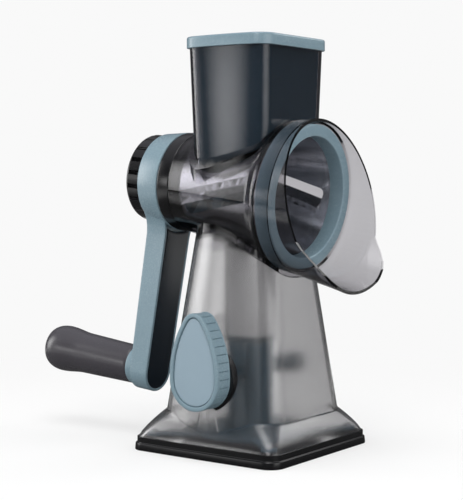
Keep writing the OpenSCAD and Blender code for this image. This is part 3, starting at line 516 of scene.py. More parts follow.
lug = lathe(softened([
    (HOLE_R, LUG_LOW, 0), (LUG_R, LUG_LOW, 0), (LUG_R, LUG_TOP, 0.3), (HOLE_R, LUG_TOP, 0)]),
    LUG_TURNS, ring=True)
lugs = [moved(lug, Matrix.Translation((x, y, 0))) for x in (-LUG_AT, LUG_AT) for y in (-LUG_AT, LUG_AT)]
make("foot_trim", "base_trim", [trim, *lugs], BASE)

# %% [markdown]
# ## Stand, tube and column
# The stand is one frosted moulding of dome and tower. Its CAD solid already has the right curves,
# so a copy is merged and shaded with the tower's true normals. The column and the tube show through
# the frosted wall, so they are copies too, and get small edge roundings.

# %% Stand and what stands inside it
TOWER_Z, TOWER_HALF, TOWER_LEAN, TOWER_R = (29.0, 183.5), 49.0, math.radians(6.8), 19.0
TOWER_BOWS, TOWER_Y = (6.0, 2.5), -1.0


def tower_at(z):
    """Centre of the tower's corners and bulge of its sides, at a height."""
    centre = TOWER_HALF - (z - TOWER_Z[0]) * math.tan(TOWER_LEAN) - TOWER_R
    share = (z - high.z) / (TOWER_Z[1] - high.z)
    return centre, centre, TOWER_BOWS[0] + (TOWER_BOWS[1] - TOWER_BOWS[0]) * share


tower_rule = outline_rule(TOWER_Y, *TOWER_Z, tower_at)
from_cad("frosted_stand", "stand_shell", rules=[tower_rule])
from_cad("fluted_column", "guide_column", edge=0.4)
from_cad("square_tube", "support_tube", edge=0.5)
from_cad("foot_plate", "base_plate", edge=0.4)
from_cad("black_knob_seat", "knob_seat", edge=0.8)
from_cad("far_bearing", "shaft_bearing", edge=0.6)

# %% [markdown]
# ## Housing
# Barrel, chute, skirt and flared visor are one clear moulding. The copy of the CAD solid keeps
# both skins of its wall, because clear plastic only looks right as a real wall: light bends on
# the way in and on the way out. Its cut edges stay crisp, and the visor's edge looks dark for it.

# %% Housing
low, high = reach("pusher_cap", BASE)
CAP_R, CAP_BOW, CAP_SOFT, PLUG_H = 13.1, 1.5, 1.7, 3.0
cap_mid = Vector((0, (low.y + high.y) / 2, 0))
cap_x, cap_y = high.x - CAP_BOW, (high.y - low.y) / 2
cap_low = low.z + PLUG_H
CHUTE_DRAFT = math.radians(1.7)


def chute_at(z):
    """Centre of the chute's corners and bulge of its sides, at a height."""
    drawn_in = (cap_low - z) * math.tan(CHUTE_DRAFT)
    return cap_x - CAP_R - drawn_in, cap_y - CAP_R - drawn_in, CAP_BOW


chute_rule = outline_rule(cap_mid.y, knob_pos.z, cap_low + 1, chute_at)
from_cad("clear_housing", "drum_housing", sharp=math.radians(28), rules=[round_rule(AXIS), chute_rule])

# %% [markdown]
# ## Pusher
# A hollow, dark pusher slides in the chute, and a blue-grey cap lies flat on top. The cap is a
# loft through rounded outlines: its side, a soft top edge, and a last ring just inside that edge,
# which keeps the shading of the large top face flat.

# %% Pusher and its cap
from_cad("hollow_pusher", "pusher_body", rules=[chute_rule])
cap_profile = softened([
    (1.5, cap_low, 0), (0, cap_low, 0.5), (0, high.z, CAP_SOFT), (2 * CAP_SOFT + 1, high.z, 0)], 6)
cap = loft([level(bowed(cap_x - inset, cap_y - inset, CAP_R - inset, CAP_BOW), z)
            for inset, z in cap_profile])
PLUG_IN = 7.3
plug = loft([level(bowed(cap_x - PLUG_IN, cap_y - PLUG_IN, CAP_R - PLUG_IN, CAP_BOW), z)
             for z in (low.z, cap_low + 0.5)])
make("flat_cap", "pusher_cap", [cap, plug], Matrix.Translation(cap_mid))

# %% [markdown]
# ## Crank
# The crank is a deep disc that closes off the housing's rear, with an arm that runs down to the
# grip. A small gap lets it turn past the cap. The disc is lathed. The arm is a loft: its outline of
# tangent arcs is drawn in step by step to round the outer edge, and its inner face slants, so each
# ring's depth depends on the height.

# %% Crank disc and arm
TURN_GAP = 0.4
low, high = reach("rear_cap", AXIS)
cap_rear_s, DISC_R = low.z, high.x
low, high = reach("crank_arm", CRANK)
disc_rear_s, disc_front_s = low.z, cap_rear_s - TURN_GAP
REAR_R, SLEEVE_R, SHAFT_R = 33.5, 10.0, 6.1
disc = lathe(softened([
    (0, disc_rear_s, 0), (REAR_R - 4, disc_rear_s, 0), (REAR_R, disc_rear_s, 1.4),
    (DISC_R, disc_front_s, 1.0), (DISC_R - 4, disc_front_s, 0), (SLEEVE_R, disc_front_s, 0.2),
    (SLEEVE_R, high.z, 0.2), (0, high.z, 0)]))

ARM_HALF_W, END_R, NECK_R = 15.0, 14.5, 25.0
END_V = low.y + END_R
NECK_X = ARM_HALF_W + NECK_R
NECK_V = -math.sqrt((REAR_R + NECK_R) ** 2 - NECK_X ** 2)
NECK_TURN = math.atan2(-NECK_V, -NECK_X)


def arm_outline(inset, start=NECK_TURN, top=((0, 0),)):
    """Arm with filleted neck and round end, drawn in by an inset."""
    return (list(top) + arc(NECK_X, NECK_V, NECK_R + inset, start, math.pi, 24)
            + arc(0, END_V, END_R - inset, 0, -math.pi, 36)
            + arc(-NECK_X, NECK_V, NECK_R + inset, 0, math.pi - start, 24))


ARM_STEP, ARM_END_STEP, COVER_T, COVER_IN = 1.2, 4.0, 2.5, 2.0


def arm_face(v):
    """Depth of the arm's slanting inner face at a height."""
    return disc_front_s - ARM_STEP - (ARM_END_STEP - ARM_STEP) * v / (END_V - END_R)


def arm_ring(outline, depth, from_face):
    return [(x, y, (arm_face(y) if from_face else disc_rear_s) + depth) for x, y in outline]


EDGE = 1.6
back_rim = [(inset, depth, False) for inset, depth in softened([(4, 0, 0), (0, 0, EDGE), (0, 4, 0)], 6)]
face_rim = [(inset, depth, True) for inset, depth in
            softened([(0, -3, 0), (0, 0, 0.6), (COVER_IN, 0, 0.2), (COVER_IN, -COVER_T, 0)], 3)]
arm = loft([arm_ring(arm_outline(inset), depth, flag) for inset, depth, flag in back_rim + face_rim])
make("crank_with_arm", "crank_arm", [disc, arm], CRANK)


# %% [markdown]
# ## Arm cover
# A dark, glossy cover lies in the arm's inner face. Its outline is the arm's, drawn in by the
# border, with its top cut to the disc's curve. The start of the neck arc is found by halving the
# angle until the point lies on the cut circle, because two offset arcs have no handy formula.

# %% Arm cover
def neck_start(inset, radius):
    """Angle on the neck's arc where it crosses a circle round the crank's axis."""
    inner, outer = NECK_TURN, math.pi
    for _ in range(40):
        mid = (inner + outer) / 2
        x = NECK_X + (NECK_R + inset) * math.cos(mid)
        y = NECK_V + (NECK_R + inset) * math.sin(mid)
        inner, outer = (mid, outer) if math.hypot(x, y) < radius else (inner, mid)
    return outer


def cover_outline(inset):
    radius = DISC_R + COVER_IN + inset
    start = neck_start(COVER_IN + inset, radius)
    x = NECK_X + (NECK_R + COVER_IN + inset) * math.cos(start)
    y = NECK_V + (NECK_R + COVER_IN + inset) * math.sin(start)
    side = math.atan2(y, x)
    top = arc(0, 0, radius, -math.pi - side, side, 16)[1:-1]
    return arm_outline(COVER_IN + inset, start, top)


cover_rim = softened([(0.1, -COVER_T, 0), (0.1, 0, 0.5), (2, 0, 0)], 3)
cover = loft([arm_ring(cover_outline(inset), depth, True) for inset, depth in cover_rim])
make("dark_arm_cover", "arm_cover", [cover], CRANK)

# %% [markdown]
# ## Collar and grip
# The grip turns on a pin behind a short collar. It is lathed from a profile that is nearly
# straight at the arm, swells towards the palm and closes in a rounded end. The dark seam between
# collar and grip is a real gap of 0.3 mm, and the pin has a little play in both.

# %% Collar, grip and its end cap
low, high = reach("grip_collar", GRIP)
PLAY = 0.1
pin_hole_r = 4.0 + PLAY
make("arm_collar", "grip_collar", [lathe(softened([
    (pin_hole_r, low.z, 0), (high.x, low.z, 0.7), (high.x, high.z + 0.3, 0.1), (pin_hole_r, high.z, 0)]),
    ring=True)], GRIP)

low, high = reach("grip", GRIP)
GRIP_LEN = high.z - low.z
NEAR_R, MID_R, FAR_R = 14.2, 15.39, high.x
FLARE_AT, ROUND_AT, ROUND_IN = 0.58, 0.86, 5.0


def grip_radius(t):
    """Radius from the arm (0) to the grip's far end (1)."""
    if t < FLARE_AT:
        return NEAR_R + (MID_R - NEAR_R) * t / FLARE_AT
    if t < ROUND_AT:
        u = (t - FLARE_AT) / (ROUND_AT - FLARE_AT)
        return MID_R + (FAR_R - MID_R) * u * u * (3 - 2 * u)
    u = (t - ROUND_AT) / (1 - ROUND_AT)
    return FAR_R - ROUND_IN * (1 - math.sqrt(max(0, 1 - u * u)))


END_CAP_R, END_FACE_R, BORE_R = 9.1, 12.4, 7.3
CAP_DEEP, BORE_DEEP = 3, 6
ROWS = 60
skin = [(grip_radius(i / ROWS) - (0.5 if i == 0 else 0), high.z - GRIP_LEN * i / ROWS) for i in range(ROWS)]
rim = [(p.x, p.y) for p in softened([
    (grip_radius(0.998), low.z + 0.2, 0), (END_FACE_R, low.z, 0.3), (END_CAP_R, low.z, 0.3),
    (END_CAP_R, low.z + CAP_DEEP, 0)])]
inside = [(BORE_R, low.z + CAP_DEEP), (BORE_R, low.z + BORE_DEEP), (pin_hole_r, low.z + BORE_DEEP),
          (pin_hole_r, high.z)]
make("palm_grip", "grip", [lathe(skin + rim + inside, ring=True)], GRIP)

low, high = reach("grip_end_cap", GRIP)
plug_r = END_CAP_R - 2 * PLAY
make("grip_plug", "grip_end_cap", [lathe(softened([
    (0, low.z, 0), (END_CAP_R / 2, low.z + 0.25, 2), (plug_r, low.z + 1.2, 0.4), (plug_r, high.z, 0.2),
    (0, high.z, 0)]))], GRIP)

# %% [markdown]
# ## Grooved rims
# The lock knob and the suction knob have finger grooves across their rims. One tree of Geometry
# Nodes makes both from named inputs: it walks round the outline in even steps, pushes every
# twelfth point inwards and gives the plate its thickness. So it serves a circle and an egg, with
# single grooves or with pairs.

# %% Geometry Nodes tree for a grooved plate
STEPS = 12


def grooved_plate_tree():
    tree = bpy.data.node_groups.new("grooved_plate", "GeometryNodeTree")
    for name, kind in (("Outline", "Geometry"), ("Grooves", "Int"), ("Depth", "Float"),
                       ("Thickness", "Float"), ("Pairs", "Float"), ("Finish", "Material")):
        tree.interface.new_socket(name, in_out="INPUT", socket_type="NodeSocket" + kind)
    tree.interface.new_socket("Plate", in_out="OUTPUT", socket_type="NodeSocketGeometry")
    given = add(tree, "NodeGroupInput").outputs
    count = add(tree, "ShaderNodeMath", {1: STEPS}, {0: given["Grooves"]}, operation="MULTIPLY")
    curve = add(tree, "GeometryNodeMeshToCurve", links={"Mesh": given["Outline"]})
    even = add(tree, "GeometryNodeResampleCurve",
               links={"Curve": curve.outputs[0], "Count": count.outputs[0]})
    index = add(tree, "GeometryNodeInputIndex")
    step = add(tree, "ShaderNodeMath", {1: STEPS}, {0: index.outputs[0]}, operation="MODULO")
    first = add(tree, "ShaderNodeMath", {1: STEPS - 1, 2: 0.1}, {0: step.outputs[0]}, operation="COMPARE")
    second = add(tree, "ShaderNodeMath", {1: STEPS - 3, 2: 0.1}, {0: step.outputs[0]}, operation="COMPARE")
    paired = add(tree, "ShaderNodeMath", links={0: second.outputs[0], 1: given["Pairs"]},
                 operation="MULTIPLY")
    either = add(tree, "ShaderNodeMath", links={0: first.outputs[0], 1: paired.outputs[0]},
                 operation="MAXIMUM")
    inwards = add(tree, "ShaderNodeMath", links={0: either.outputs[0], 1: given["Depth"]},
                  operation="MULTIPLY")
    tangent = add(tree, "GeometryNodeInputTangent")
    normal = add(tree, "ShaderNodeVectorMath", {1: (0, 0, 1)}, {0: tangent.outputs[0]},
                 operation="CROSS_PRODUCT")
    position = add(tree, "GeometryNodeInputPosition")
    side = add(tree, "ShaderNodeVectorMath", links={0: normal.outputs[0], 1: position.outputs[0]},
               operation="DOT_PRODUCT")
    sign = add(tree, "ShaderNodeMath", links={0: side.outputs["Value"]}, operation="SIGN")
    amount = add(tree, "ShaderNodeMath", links={0: inwards.outputs[0], 1: sign.outputs[0]},
                 operation="MULTIPLY")
    back = add(tree, "ShaderNodeMath", {1: -1.0}, {0: amount.outputs[0]}, operation="MULTIPLY")
    push = add(tree, "ShaderNodeVectorMath", links={0: normal.outputs[0], "Scale": back.outputs[0]},
               operation="SCALE")
    cut = add(tree, "GeometryNodeSetPosition", links={"Geometry": even.outputs[0], "Offset": push.outputs[0]})
    face = add(tree, "GeometryNodeFillCurve", links={"Curve": cut.outputs[0]}, mode="NGONS")
    flipped = add(tree, "GeometryNodeFlipFaces", links={"Mesh": face.outputs[0]})
    thick = add(tree, "GeometryNodeExtrudeMesh", {"Offset": (0, 0, 1), "Individual": False},
                {"Mesh": face.outputs[0], "Offset Scale": given["Thickness"]})
    both = add(tree, "GeometryNodeJoinGeometry", links={0: thick.outputs[0]})
    tree.links.new(flipped.outputs[0], both.inputs[0])
    merged = add(tree, "GeometryNodeMergeByDistance", {"Distance": 0.001}, {"Geometry": both.outputs[0]})
    real = add(tree, "GeometryNodeRealizeInstances", links={"Geometry": merged.outputs[0]})
    dressed = add(tree, "GeometryNodeSetMaterial",
                  links={"Geometry": real.outputs[0], "Material": given["Finish"]})
    add(tree, "NodeGroupOutput", links={0: dressed.outputs[0]})
    return tree


# %% Run a tree on an outline
def grown(tree, points, edges, faces, settings):
    """Run a Geometry Nodes tree on a small mesh and give back the result as a form."""
    seed = bpy.data.meshes.new("seed")
    seed.from_pydata(points, edges, faces)
    carrier = bpy.data.objects.new("seed", seed)
    bpy.context.scene.collection.objects.link(carrier)
    nodes_of = carrier.modifiers.new("grow", "NODES")
    nodes_of.node_group = tree
    sockets = {s.name: s.identifier for s in tree.interface.items_tree if s.in_out == "INPUT"}
    for name, value in settings.items():
        nodes_of[sockets[name]] = value
    baked(carrier)
    form = [tuple(v.co) for v in carrier.data.vertices], [list(p.vertices) for p in carrier.data.polygons]
    bpy.data.objects.remove(carrier)
    return form


PLATE = grooved_plate_tree()


def grooved_plate(outline, grooves, depth, low_z, high_z, pairs, slot):
    n = len(outline)
    form = grown(PLATE, level(outline, 0), [(i, (i + 1) % n) for i in range(n)], [], {
        "Grooves": grooves, "Depth": depth, "Thickness": high_z - low_z, "Pairs": pairs,
        "Finish": FINISH[slot]})
    return moved(form, Matrix.Translation((0, 0, low_z)))


# %% [markdown]
# ## Lock knob
# Behind the crank sits the black disc that holds the shaft. Its rim has broad lands with a pair of
# grooves between them, and a thin bead closes the rim at each side. The face has a shallow dish.
# The grooved plate starts a little in front of the dish's floor, because two faces in one plane
# flicker.

# %% Lock knob
low, high = reach("lock_knob", CRANK)
LOCK_R, LOCK_GROOVES, LOCK_DEPTH, DISH_R, DISH = high.x, 20, 1.3, 23.0, 1.6
BAND_LOW, LOCK_BOSS_R = 1.75, 12
lock_front_s = disc_rear_s - TURN_GAP
lock_core_r = LOCK_R - LOCK_DEPTH
rim = grooved_plate(arc(0, 0, LOCK_R, 0, 2 * math.pi, LOCK_GROOVES * STEPS)[:-1], LOCK_GROOVES, LOCK_DEPTH,
                    low.z + BAND_LOW, lock_front_s - 0.2, 1.0, "black_plastic")
disc = lathe(softened([
    (0, low.z + DISH, 0), (DISH_R - 4, low.z + DISH, 0), (DISH_R, low.z + DISH, 1.0),
    (DISH_R + 0.6, low.z, 0.6), (LOCK_R - 2.4, low.z, 0), (LOCK_R - 0.6, low.z, 1.2),
    (LOCK_R - 0.2, low.z + 1.7, 0), (lock_core_r, low.z + 1.8, 0), (lock_core_r, lock_front_s, 0.2),
    (LOCK_BOSS_R, lock_front_s, 0), (LOCK_BOSS_R, high.z, 0.2), (0, high.z, 0)]))
make("ribbed_lock_knob", "lock_knob", [rim, disc], CRANK)


# %% [markdown]
# ## Suction knob
# The knob is an egg of four tangent arcs. A rounded lip frames its pale face plate at the front,
# a finely grooved band runs round it, and a thin flange closes the back. Lip and flange are lofts
# of the egg drawn in by small insets, and the band comes from the same tree as the lock knob's.

# %% Egg outline
EGG_R, TIP_R, EGG_REACH, SIDE_R = 20.5, 9.5, 37.0, 70.0
side_v = ((SIDE_R - EGG_R) ** 2 - (SIDE_R - TIP_R) ** 2 + EGG_REACH ** 2) / (2 * EGG_REACH)
side_x = math.sqrt((SIDE_R - EGG_R) ** 2 - side_v ** 2)
turn_low = math.atan2(-side_v, side_x)
turn_high = math.atan2(EGG_REACH - side_v, side_x)


def egg(inset):
    half = (arc(0, 0, EGG_R - inset, -math.pi / 2, turn_low, 28)
            + arc(-side_x, side_v, SIDE_R - inset, turn_low, turn_high, 24)[1:]
            + arc(0, EGG_REACH, TIP_R - inset, turn_high, math.pi / 2, 16)[1:])
    return half + [(-x, y) for x, y in half[-2:0:-1]]


# %% Suction knob and its face plate
low, high = reach("suction_knob", KNOB)
BORDER, RECESS, FACE_T, BAND = 3.4, 0.8, 2.0, 2.4
KNOB_GROOVES, KNOB_DEPTH, BAND_IN, FLANGE_T = 30, 0.75, 0.35, 1.3
lip = loft([level(egg(inset), high.z - depth) for inset, depth in softened([
    (4, BAND + 1, 0), (0.9, BAND + 1, 0), (0, BAND, 0.2), (0, 0, 0.9), (BORDER - 0.5, 0, 0.6),
    (BORDER, RECESS + FACE_T, 0), (8, RECESS + FACE_T, 0)])])
band = grooved_plate(egg(BAND_IN), KNOB_GROOVES, KNOB_DEPTH, low.z + 0.8, high.z - BAND, 0.0,
                     "blue_grey_plastic")
flange = loft([level(egg(inset), low.z + height) for inset, height in softened([
    (4, 0, 0), (0, 0, 0.4), (0, FLANGE_T, 0.4), (4, FLANGE_T, 0)])])
make("egg_knob", "suction_knob", [lip, band, flange], KNOB)
face = loft([level(egg(BORDER + 0.15 + inset), high.z - RECESS - depth) for inset, depth in softened([
    (0, FACE_T, 0), (0, 0, 0.5), (3, 0, 0)])])
make("knob_face_plate", "knob_face", [face], KNOB)

# %% [markdown]
# ## Rings round the drum
# The black rear cap closes the barrel, and the blue-grey ring stiffens the mouth of the cone.
# Both are closed profiles, lathed round the axis, with soft edges that take a thin highlight.

# %% Rear cap and front ring
low, high = reach("rear_cap", AXIS)
BUSH_R, PLUG_R, PLUG_WALL = 13.1, 33.4, 1.8
plate_s, plug_bore = high.z - 3.5, PLUG_R - PLUG_WALL
make("black_rear_cap", "rear_cap", [lathe(softened([
    (BUSH_R, low.z, 0), (DISC_R, low.z, 1.2), (DISC_R, plate_s, 0.9), (PLUG_R, plate_s, 0),
    (PLUG_R, high.z, 0.2), (plug_bore, high.z, 0.2), (plug_bore, plate_s, 0), (BUSH_R, plate_s, 0)]),
    ring=True)], AXIS)
low, high = reach("drum_front_ring", AXIS)
RING_R, RING_BORE, RING_WALL, RING_FACE, NECK = high.x, 42.2, 2.0, 4.5, 43.35
ring_back, rim_bore = high.z - RING_FACE, RING_R - RING_WALL
make("cone_front_ring", "drum_front_ring", [lathe(softened([
    (NECK, low.z, 0), (NECK, ring_back, 0), (rim_bore, ring_back, 0.2), (rim_bore, low.z, 0.2),
    (RING_R, low.z, 0.3), (RING_R, high.z, 1.1), (RING_BORE, high.z, 1.1), (RING_BORE, low.z, 0.2),
    (NECK, low.z, 0)])[:-1], ring=True)], AXIS)

# %% [markdown]
# ## Ribbed hub
# The hub at the cone's narrow end shows through the mouth: a disc, a long boss and six ribs. The
# ribs are one rib, copied: a second Geometry Nodes tree puts a copy on every point that it is
# given, and turns each a step further than the one before.

# %% Geometry Nodes tree for turned copies
def turned_copies_tree():
    tree = bpy.data.node_groups.new("turned_copies", "GeometryNodeTree")
    for name, kind in (("Places", "Geometry"), ("Piece", "Object"), ("Turn", "Float"),
                       ("Finish", "Material")):
        tree.interface.new_socket(name, in_out="INPUT", socket_type="NodeSocket" + kind)
    tree.interface.new_socket("Copies", in_out="OUTPUT", socket_type="NodeSocketGeometry")
    given = add(tree, "NodeGroupInput").outputs
    piece = add(tree, "GeometryNodeObjectInfo", {"As Instance": True}, {"Object": given["Piece"]})
    index = add(tree, "GeometryNodeInputIndex")
    angle = add(tree, "ShaderNodeMath", links={0: index.outputs[0], 1: given["Turn"]}, operation="MULTIPLY")
    turn = add(tree, "ShaderNodeCombineXYZ", links={"Z": angle.outputs[0]})
    copies = add(tree, "GeometryNodeInstanceOnPoints", links={
        "Points": given["Places"], "Instance": piece.outputs["Geometry"], "Rotation": turn.outputs[0]})
    real = add(tree, "GeometryNodeRealizeInstances", links={"Geometry": copies.outputs[0]})
    dressed = add(tree, "GeometryNodeSetMaterial",
                  links={"Geometry": real.outputs[0], "Material": given["Finish"]})
    add(tree, "NodeGroupOutput", links={0: dressed.outputs[0]})
    return tree


COPIES = turned_copies_tree()

# %% Hub
low, high = reach("drum_rear_hub", CRANK)
HUB_T, BOSS_R, CONE_SLOPE = 3.0, 12.0, 0.17215
RIBS, RIB_W, RIB_H, RIB_IN, RIB_EDGE = 6, 2.4, 5.0, 1.6, 0.4
hub_rear_r, shaft_hole_r = high.x - HUB_T * CONE_SLOPE, SHAFT_R + PLAY
disc_top, rib_top = low.z + HUB_T, low.z + HUB_T + RIB_H
hub = lathe(softened([
    (shaft_hole_r, low.z, 0), (hub_rear_r, low.z, 0.3), (high.x, disc_top, 0.4), (BOSS_R, disc_top, 1.5),
    (BOSS_R, high.z, 0.8), (shaft_hole_r, high.z, 0)]), ring=True)
seed = bpy.data.meshes.new("rib")
rib = loft([[(BOSS_R - 1, -RIB_W / 2 + inset, z), (hub_rear_r - RIB_IN - inset, -RIB_W / 2 + inset, z),
             (hub_rear_r - RIB_IN - inset, RIB_W / 2 - inset, z), (BOSS_R - 1, RIB_W / 2 - inset, z)]
            for inset, z in ((0, low.z + 0.5), (0, rib_top - 0.5), (RIB_EDGE, rib_top))])
seed.from_pydata(rib[0], [], rib[1])
one_rib = bpy.data.objects.new("rib", seed)
bpy.context.scene.collection.objects.link(one_rib)
ribs = grown(COPIES, [(0, 0, 0)] * RIBS, [], [], {
    "Piece": one_rib, "Turn": 2 * math.pi / RIBS, "Finish": FINISH[slot_of["drum_rear_hub"]]})
bpy.data.objects.remove(one_rib)
make("ribbed_hub", "drum_rear_hub", [hub, ribs], CRANK)

# %% [markdown]
# ## Cone and small parts
# The steel cone's pressed blades come from the CAD solid: a merged copy keeps them exact, and only
# the round wall gets true normals. The other small parts only get their finishes.

# %% Cone
from_cad("bladed_cone", "drum_cone", sharp=math.radians(14), rules=[round_rule(AXIS)])
for name, node in nodes.items():
    for slot in node.material_slots:
        slot.material = FINISH[slot_of[name]]

# %% [markdown]
# ## Floor
# The floor is pale and matt and keeps a soft shadow near the foot. Further out it fades to the
# plain white of the backdrop, which adds no light. Gloss sees a floor of painted greys: nearly
# black at the foot, a painted shade that stands for the floor's shadow round the foot, then a ring
# of white card that brightens the steel's underside, and dark cloth again far out. Light that has
# come through clear plastic also counts as glossy, so the number of reflections tells gloss apart.

# %% Helpers for light that the camera doesn't see
def grey_stops(ramp, stops, blue=1.0):
    """Give a ramp its greys, as (place, value) pairs from 0 to 1, with more or less blue."""
    elements = ramp.color_ramp.elements
    for place, value in stops:
        stop = elements[0] if place == 0.0 else elements[-1] if place == 1.0 else elements.new(place)
        stop.color = (value, value, value * blue, 1)


def ray_kinds(tree):
    """Shares of a ray: reflected by gloss, and seen by the camera directly or through plastic."""
    rays = add(tree, "ShaderNodeLightPath").outputs
    shiny = add(tree, "ShaderNodeMath", {1: 1.0}, {0: rays["Glossy Depth"]}, operation="MINIMUM").outputs[0]
    direct = add(tree, "ShaderNodeMath", links={0: rays["Is Camera Ray"], 1: rays["Is Transmission Ray"]},
                 operation="MAXIMUM").outputs[0]
    return rays, shiny, direct


# %% Floor
FLOOR_HALF = 6.0
SHADE_FROM, SHADE_TO = 0.16, 0.5
FLOOR_MATT, FLOOR_GLOW = 0.42, 0.49
CARD_REACH = 1.2
# Greys that gloss sees on the floor, by distance: painted shade at the foot, then white card, then dark far
# out.
FOOT_SHADE_AND_CARDS = ((0.0, 0.08), (0.32, 0.10), (0.42, 0.8), (0.65, 0.7), (0.9, 0.12), (1.0, 0.12))
floor_mesh = bpy.data.meshes.new("floor")
floor_mesh.from_pydata([(x, y, 0) for x, y in ((-1, -1), (1, -1), (1, 1), (-1, 1))], [], [(0, 1, 2, 3)])
floor_mesh.transform(Matrix.Scale(FLOOR_HALF, 4))
floor = bpy.data.objects.new("floor", floor_mesh)
bpy.context.scene.collection.objects.link(floor)
BACKDROP = 0.947
finish = bpy.data.materials.new("pale_floor")
finish.use_nodes = True
tree = finish.node_tree
tree.nodes.clear()
_, shiny, direct = ray_kinds(tree)
where = add(tree, "ShaderNodeTexCoord").outputs["Object"]
distance = add(tree, "ShaderNodeVectorMath", links={0: where}, operation="LENGTH").outputs["Value"]
fade = add(tree, "ShaderNodeMapRange", {"From Min": SHADE_FROM, "From Max": SHADE_TO}, {"Value": distance},
           interpolation_type="SMOOTHSTEP").outputs[0]
matt = add(tree, "ShaderNodeBsdfDiffuse", {"Color": (FLOOR_MATT, FLOOR_MATT, FLOOR_MATT, 1)}).outputs[0]
glow = add(tree, "ShaderNodeEmission", {"Color": (1, 1, 1, 1), "Strength": FLOOR_GLOW}).outputs[0]
white = add(tree, "ShaderNodeEmission", {"Color": (1, 1, 1, 1), "Strength": BACKDROP}).outputs[0]
near = add(tree, "ShaderNodeAddShader", links={0: matt, 1: glow}).outputs[0]
seen = add(tree, "ShaderNodeMixShader", links={0: fade, 1: near, 2: white}).outputs[0]
outwards = add(tree, "ShaderNodeMapRange", {"From Min": 0.0, "From Max": CARD_REACH}, {"Value": distance})
# Painted shade: this ramp darkens the floor near the foot as gloss sees it.
card = add(tree, "ShaderNodeValToRGB", links={0: outwards.outputs[0]})
grey_stops(card, FOOT_SHADE_AND_CARDS)
mirrored = add(tree, "ShaderNodeBsdfDiffuse", links={"Color": card.outputs[0]}).outputs[0]
other = add(tree, "ShaderNodeMixShader", links={0: direct, 1: matt, 2: seen}).outputs[0]
surface = add(tree, "ShaderNodeMixShader", links={0: shiny, 1: other, 2: mirrored}).outputs[0]
add(tree, "ShaderNodeOutputMaterial", links={"Surface": surface})
floor_mesh.materials.append(finish)

# %% [markdown]
# ## World
# The camera and what it sees through clear plastic meet a plain white backdrop. Gloss meets the
# same backdrop as if dark flags stood round the table: dim at eye level and lighter overhead. That
# keeps the contrast of the steel and the dark plastics, and the softboxes draw the highlights.
# Everything else is lit by an even grey.

# %% World
FLAGS = ((0.0, 0.3), (0.5, 0.14), (0.62, 0.08), (0.76, 0.14), (0.86, 0.5), (1.0, 0.6))
FLAG_BLUE, SOFT_LIGHT = 1.08, 0.6
world = bpy.data.worlds.new("studio")
bpy.context.scene.world = world
world.use_nodes = True
tree = world.node_tree
tree.nodes.clear()
rays, shiny, direct = ray_kinds(tree)
direction = add(tree, "ShaderNodeTexCoord").outputs["Generated"]
height = add(tree, "ShaderNodeSeparateXYZ", links={0: direction}).outputs["Z"]
rise = add(tree, "ShaderNodeMapRange", {"From Min": -1.0, "From Max": 1.0}, {"Value": height}).outputs[0]
flags = add(tree, "ShaderNodeValToRGB", links={0: rise})
grey_stops(flags, FLAGS, FLAG_BLUE)
backdrop = add(tree, "ShaderNodeMixRGB", {"Color1": (1, 1, 1, 1)},
               {"Fac": shiny, "Color2": flags.outputs[0]})
white = add(tree, "ShaderNodeBackground", {"Strength": BACKDROP}, {"Color": backdrop.outputs[0]}).outputs[0]
soft = add(tree, "ShaderNodeBackground", {"Color": (1, 1, 1, 1), "Strength": SOFT_LIGHT}).outputs[0]
seen = add(tree, "ShaderNodeMath", links={0: direct, 1: rays["Is Glossy Ray"]},
           operation="MAXIMUM").outputs[0]
mixed = add(tree, "ShaderNodeMixShader", links={0: seen, 1: soft, 2: white}).outputs[0]
add(tree, "ShaderNodeOutputWorld", links={"Surface": mixed})

# %% [markdown]
# ## Lamps
# Each softbox stands where one surface mirrors it into the camera: a strip for the upright sheen on
# the pusher, a box for the band along the steel, one for the mouth and one for the inside of the
# cone. Two more light the knob's side and the top. A real softbox is brightest in the middle, so its
# light falls off to its edges.

# %% Softboxes
MIDDLE = Vector((0, 0, 0.16))
SOFT_EDGE = 1.6


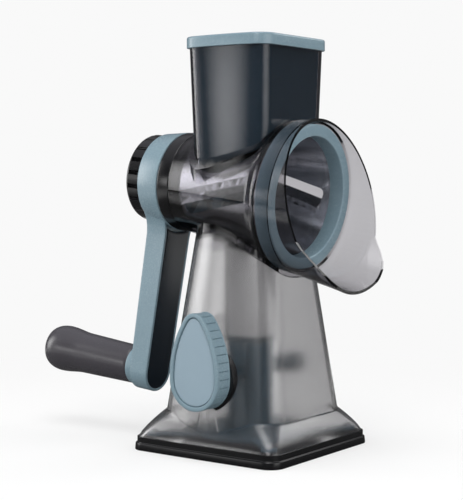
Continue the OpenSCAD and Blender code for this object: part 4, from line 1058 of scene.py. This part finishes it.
def softbox(name, towards, distance, width, height, brightness):
    lamp = bpy.data.lights.new(name, "AREA")
    lamp.shape, lamp.size, lamp.size_y = "RECTANGLE", width, height
    lamp.energy = brightness * math.pi * width * height
    lamp.use_nodes = True
    tree = lamp.node_tree
    tree.nodes.clear()
    place = add(tree, "ShaderNodeNewGeometry").outputs["Parametric"]
    swing = add(tree, "ShaderNodeVectorMath", {1: (0.5, 0.5, 0)}, {0: place}, operation="SUBTRACT").outputs[0]
    split = add(tree, "ShaderNodeSeparateXYZ", links={0: swing}).outputs
    falls = []
    for axis in ("X", "Y"):
        square = add(tree, "ShaderNodeMath", links={0: split[axis], 1: split[axis]}, operation="MULTIPLY")
        falls.append(add(tree, "ShaderNodeMath", {1: -4.0, 2: 1.0}, {0: square.outputs[0]},
                         operation="MULTIPLY_ADD").outputs[0])
    product = add(tree, "ShaderNodeMath", links={0: falls[0], 1: falls[1]}, operation="MULTIPLY").outputs[0]
    strength = add(tree, "ShaderNodeMath", {1: SOFT_EDGE}, {0: product}, operation="POWER").outputs[0]
    shine = add(tree, "ShaderNodeEmission", links={"Strength": strength}).outputs[0]
    add(tree, "ShaderNodeOutputLight", links={0: shine})
    carrier = bpy.data.objects.new(name, lamp)
    along = Vector(towards).normalized()
    carrier.matrix_world = (Matrix.Translation(MIDDLE + along * distance)
                            @ along.to_track_quat("Z", "Y").to_matrix().to_4x4())
    bpy.context.scene.collection.objects.link(carrier)


softbox("pusher_strip", (-0.84, 0.54, 0.06), 1.3, 0.66, 0.44, 3.4)
softbox("drum_box", (-0.43, 0.88, 0.2), 1.3, 0.74, 1.3, 6.2)
softbox("mouth_box", (-0.1, -0.98, 0.15), 1.4, 1.7, 1.3, 2.2)
softbox("cone_box", (0.71, -0.45, 0.52), 1.4, 1.1, 0.9, 4.0)
softbox("knob_box", (-1.0, -0.3, 0.5), 1.4, 1.0, 1.0, 4.3)
softbox("top_box", (-0.25, -0.1, 1.0), 1.3, 1.3, 1.3, 4.0)

# %% [markdown]
# ## Camera
# The place comes from the photo's vanishing lines and the foot's square. The view is nearly
# level, from the knob's side, with the mouth turned to the right.

# %% Camera
EYE_AT, LOOK = (-0.7824, -0.5511, 0.1963), Vector((0.8075, 0.5871, -0.0581)).normalized()
LENS_MM, SENSOR_MM = 96.7, 36.0
camera = bpy.data.cameras.new("view")
camera.lens, camera.sensor_width, camera.sensor_fit = LENS_MM, SENSOR_MM, "AUTO"
eye = bpy.data.objects.new("view", camera)
eye.matrix_world = Matrix.Translation(EYE_AT) @ LOOK.to_track_quat("-Z", "Y").to_matrix().to_4x4()
bpy.context.scene.collection.objects.link(eye)
bpy.context.scene.camera = eye
bpy.context.scene.view_settings.view_transform = "Standard"
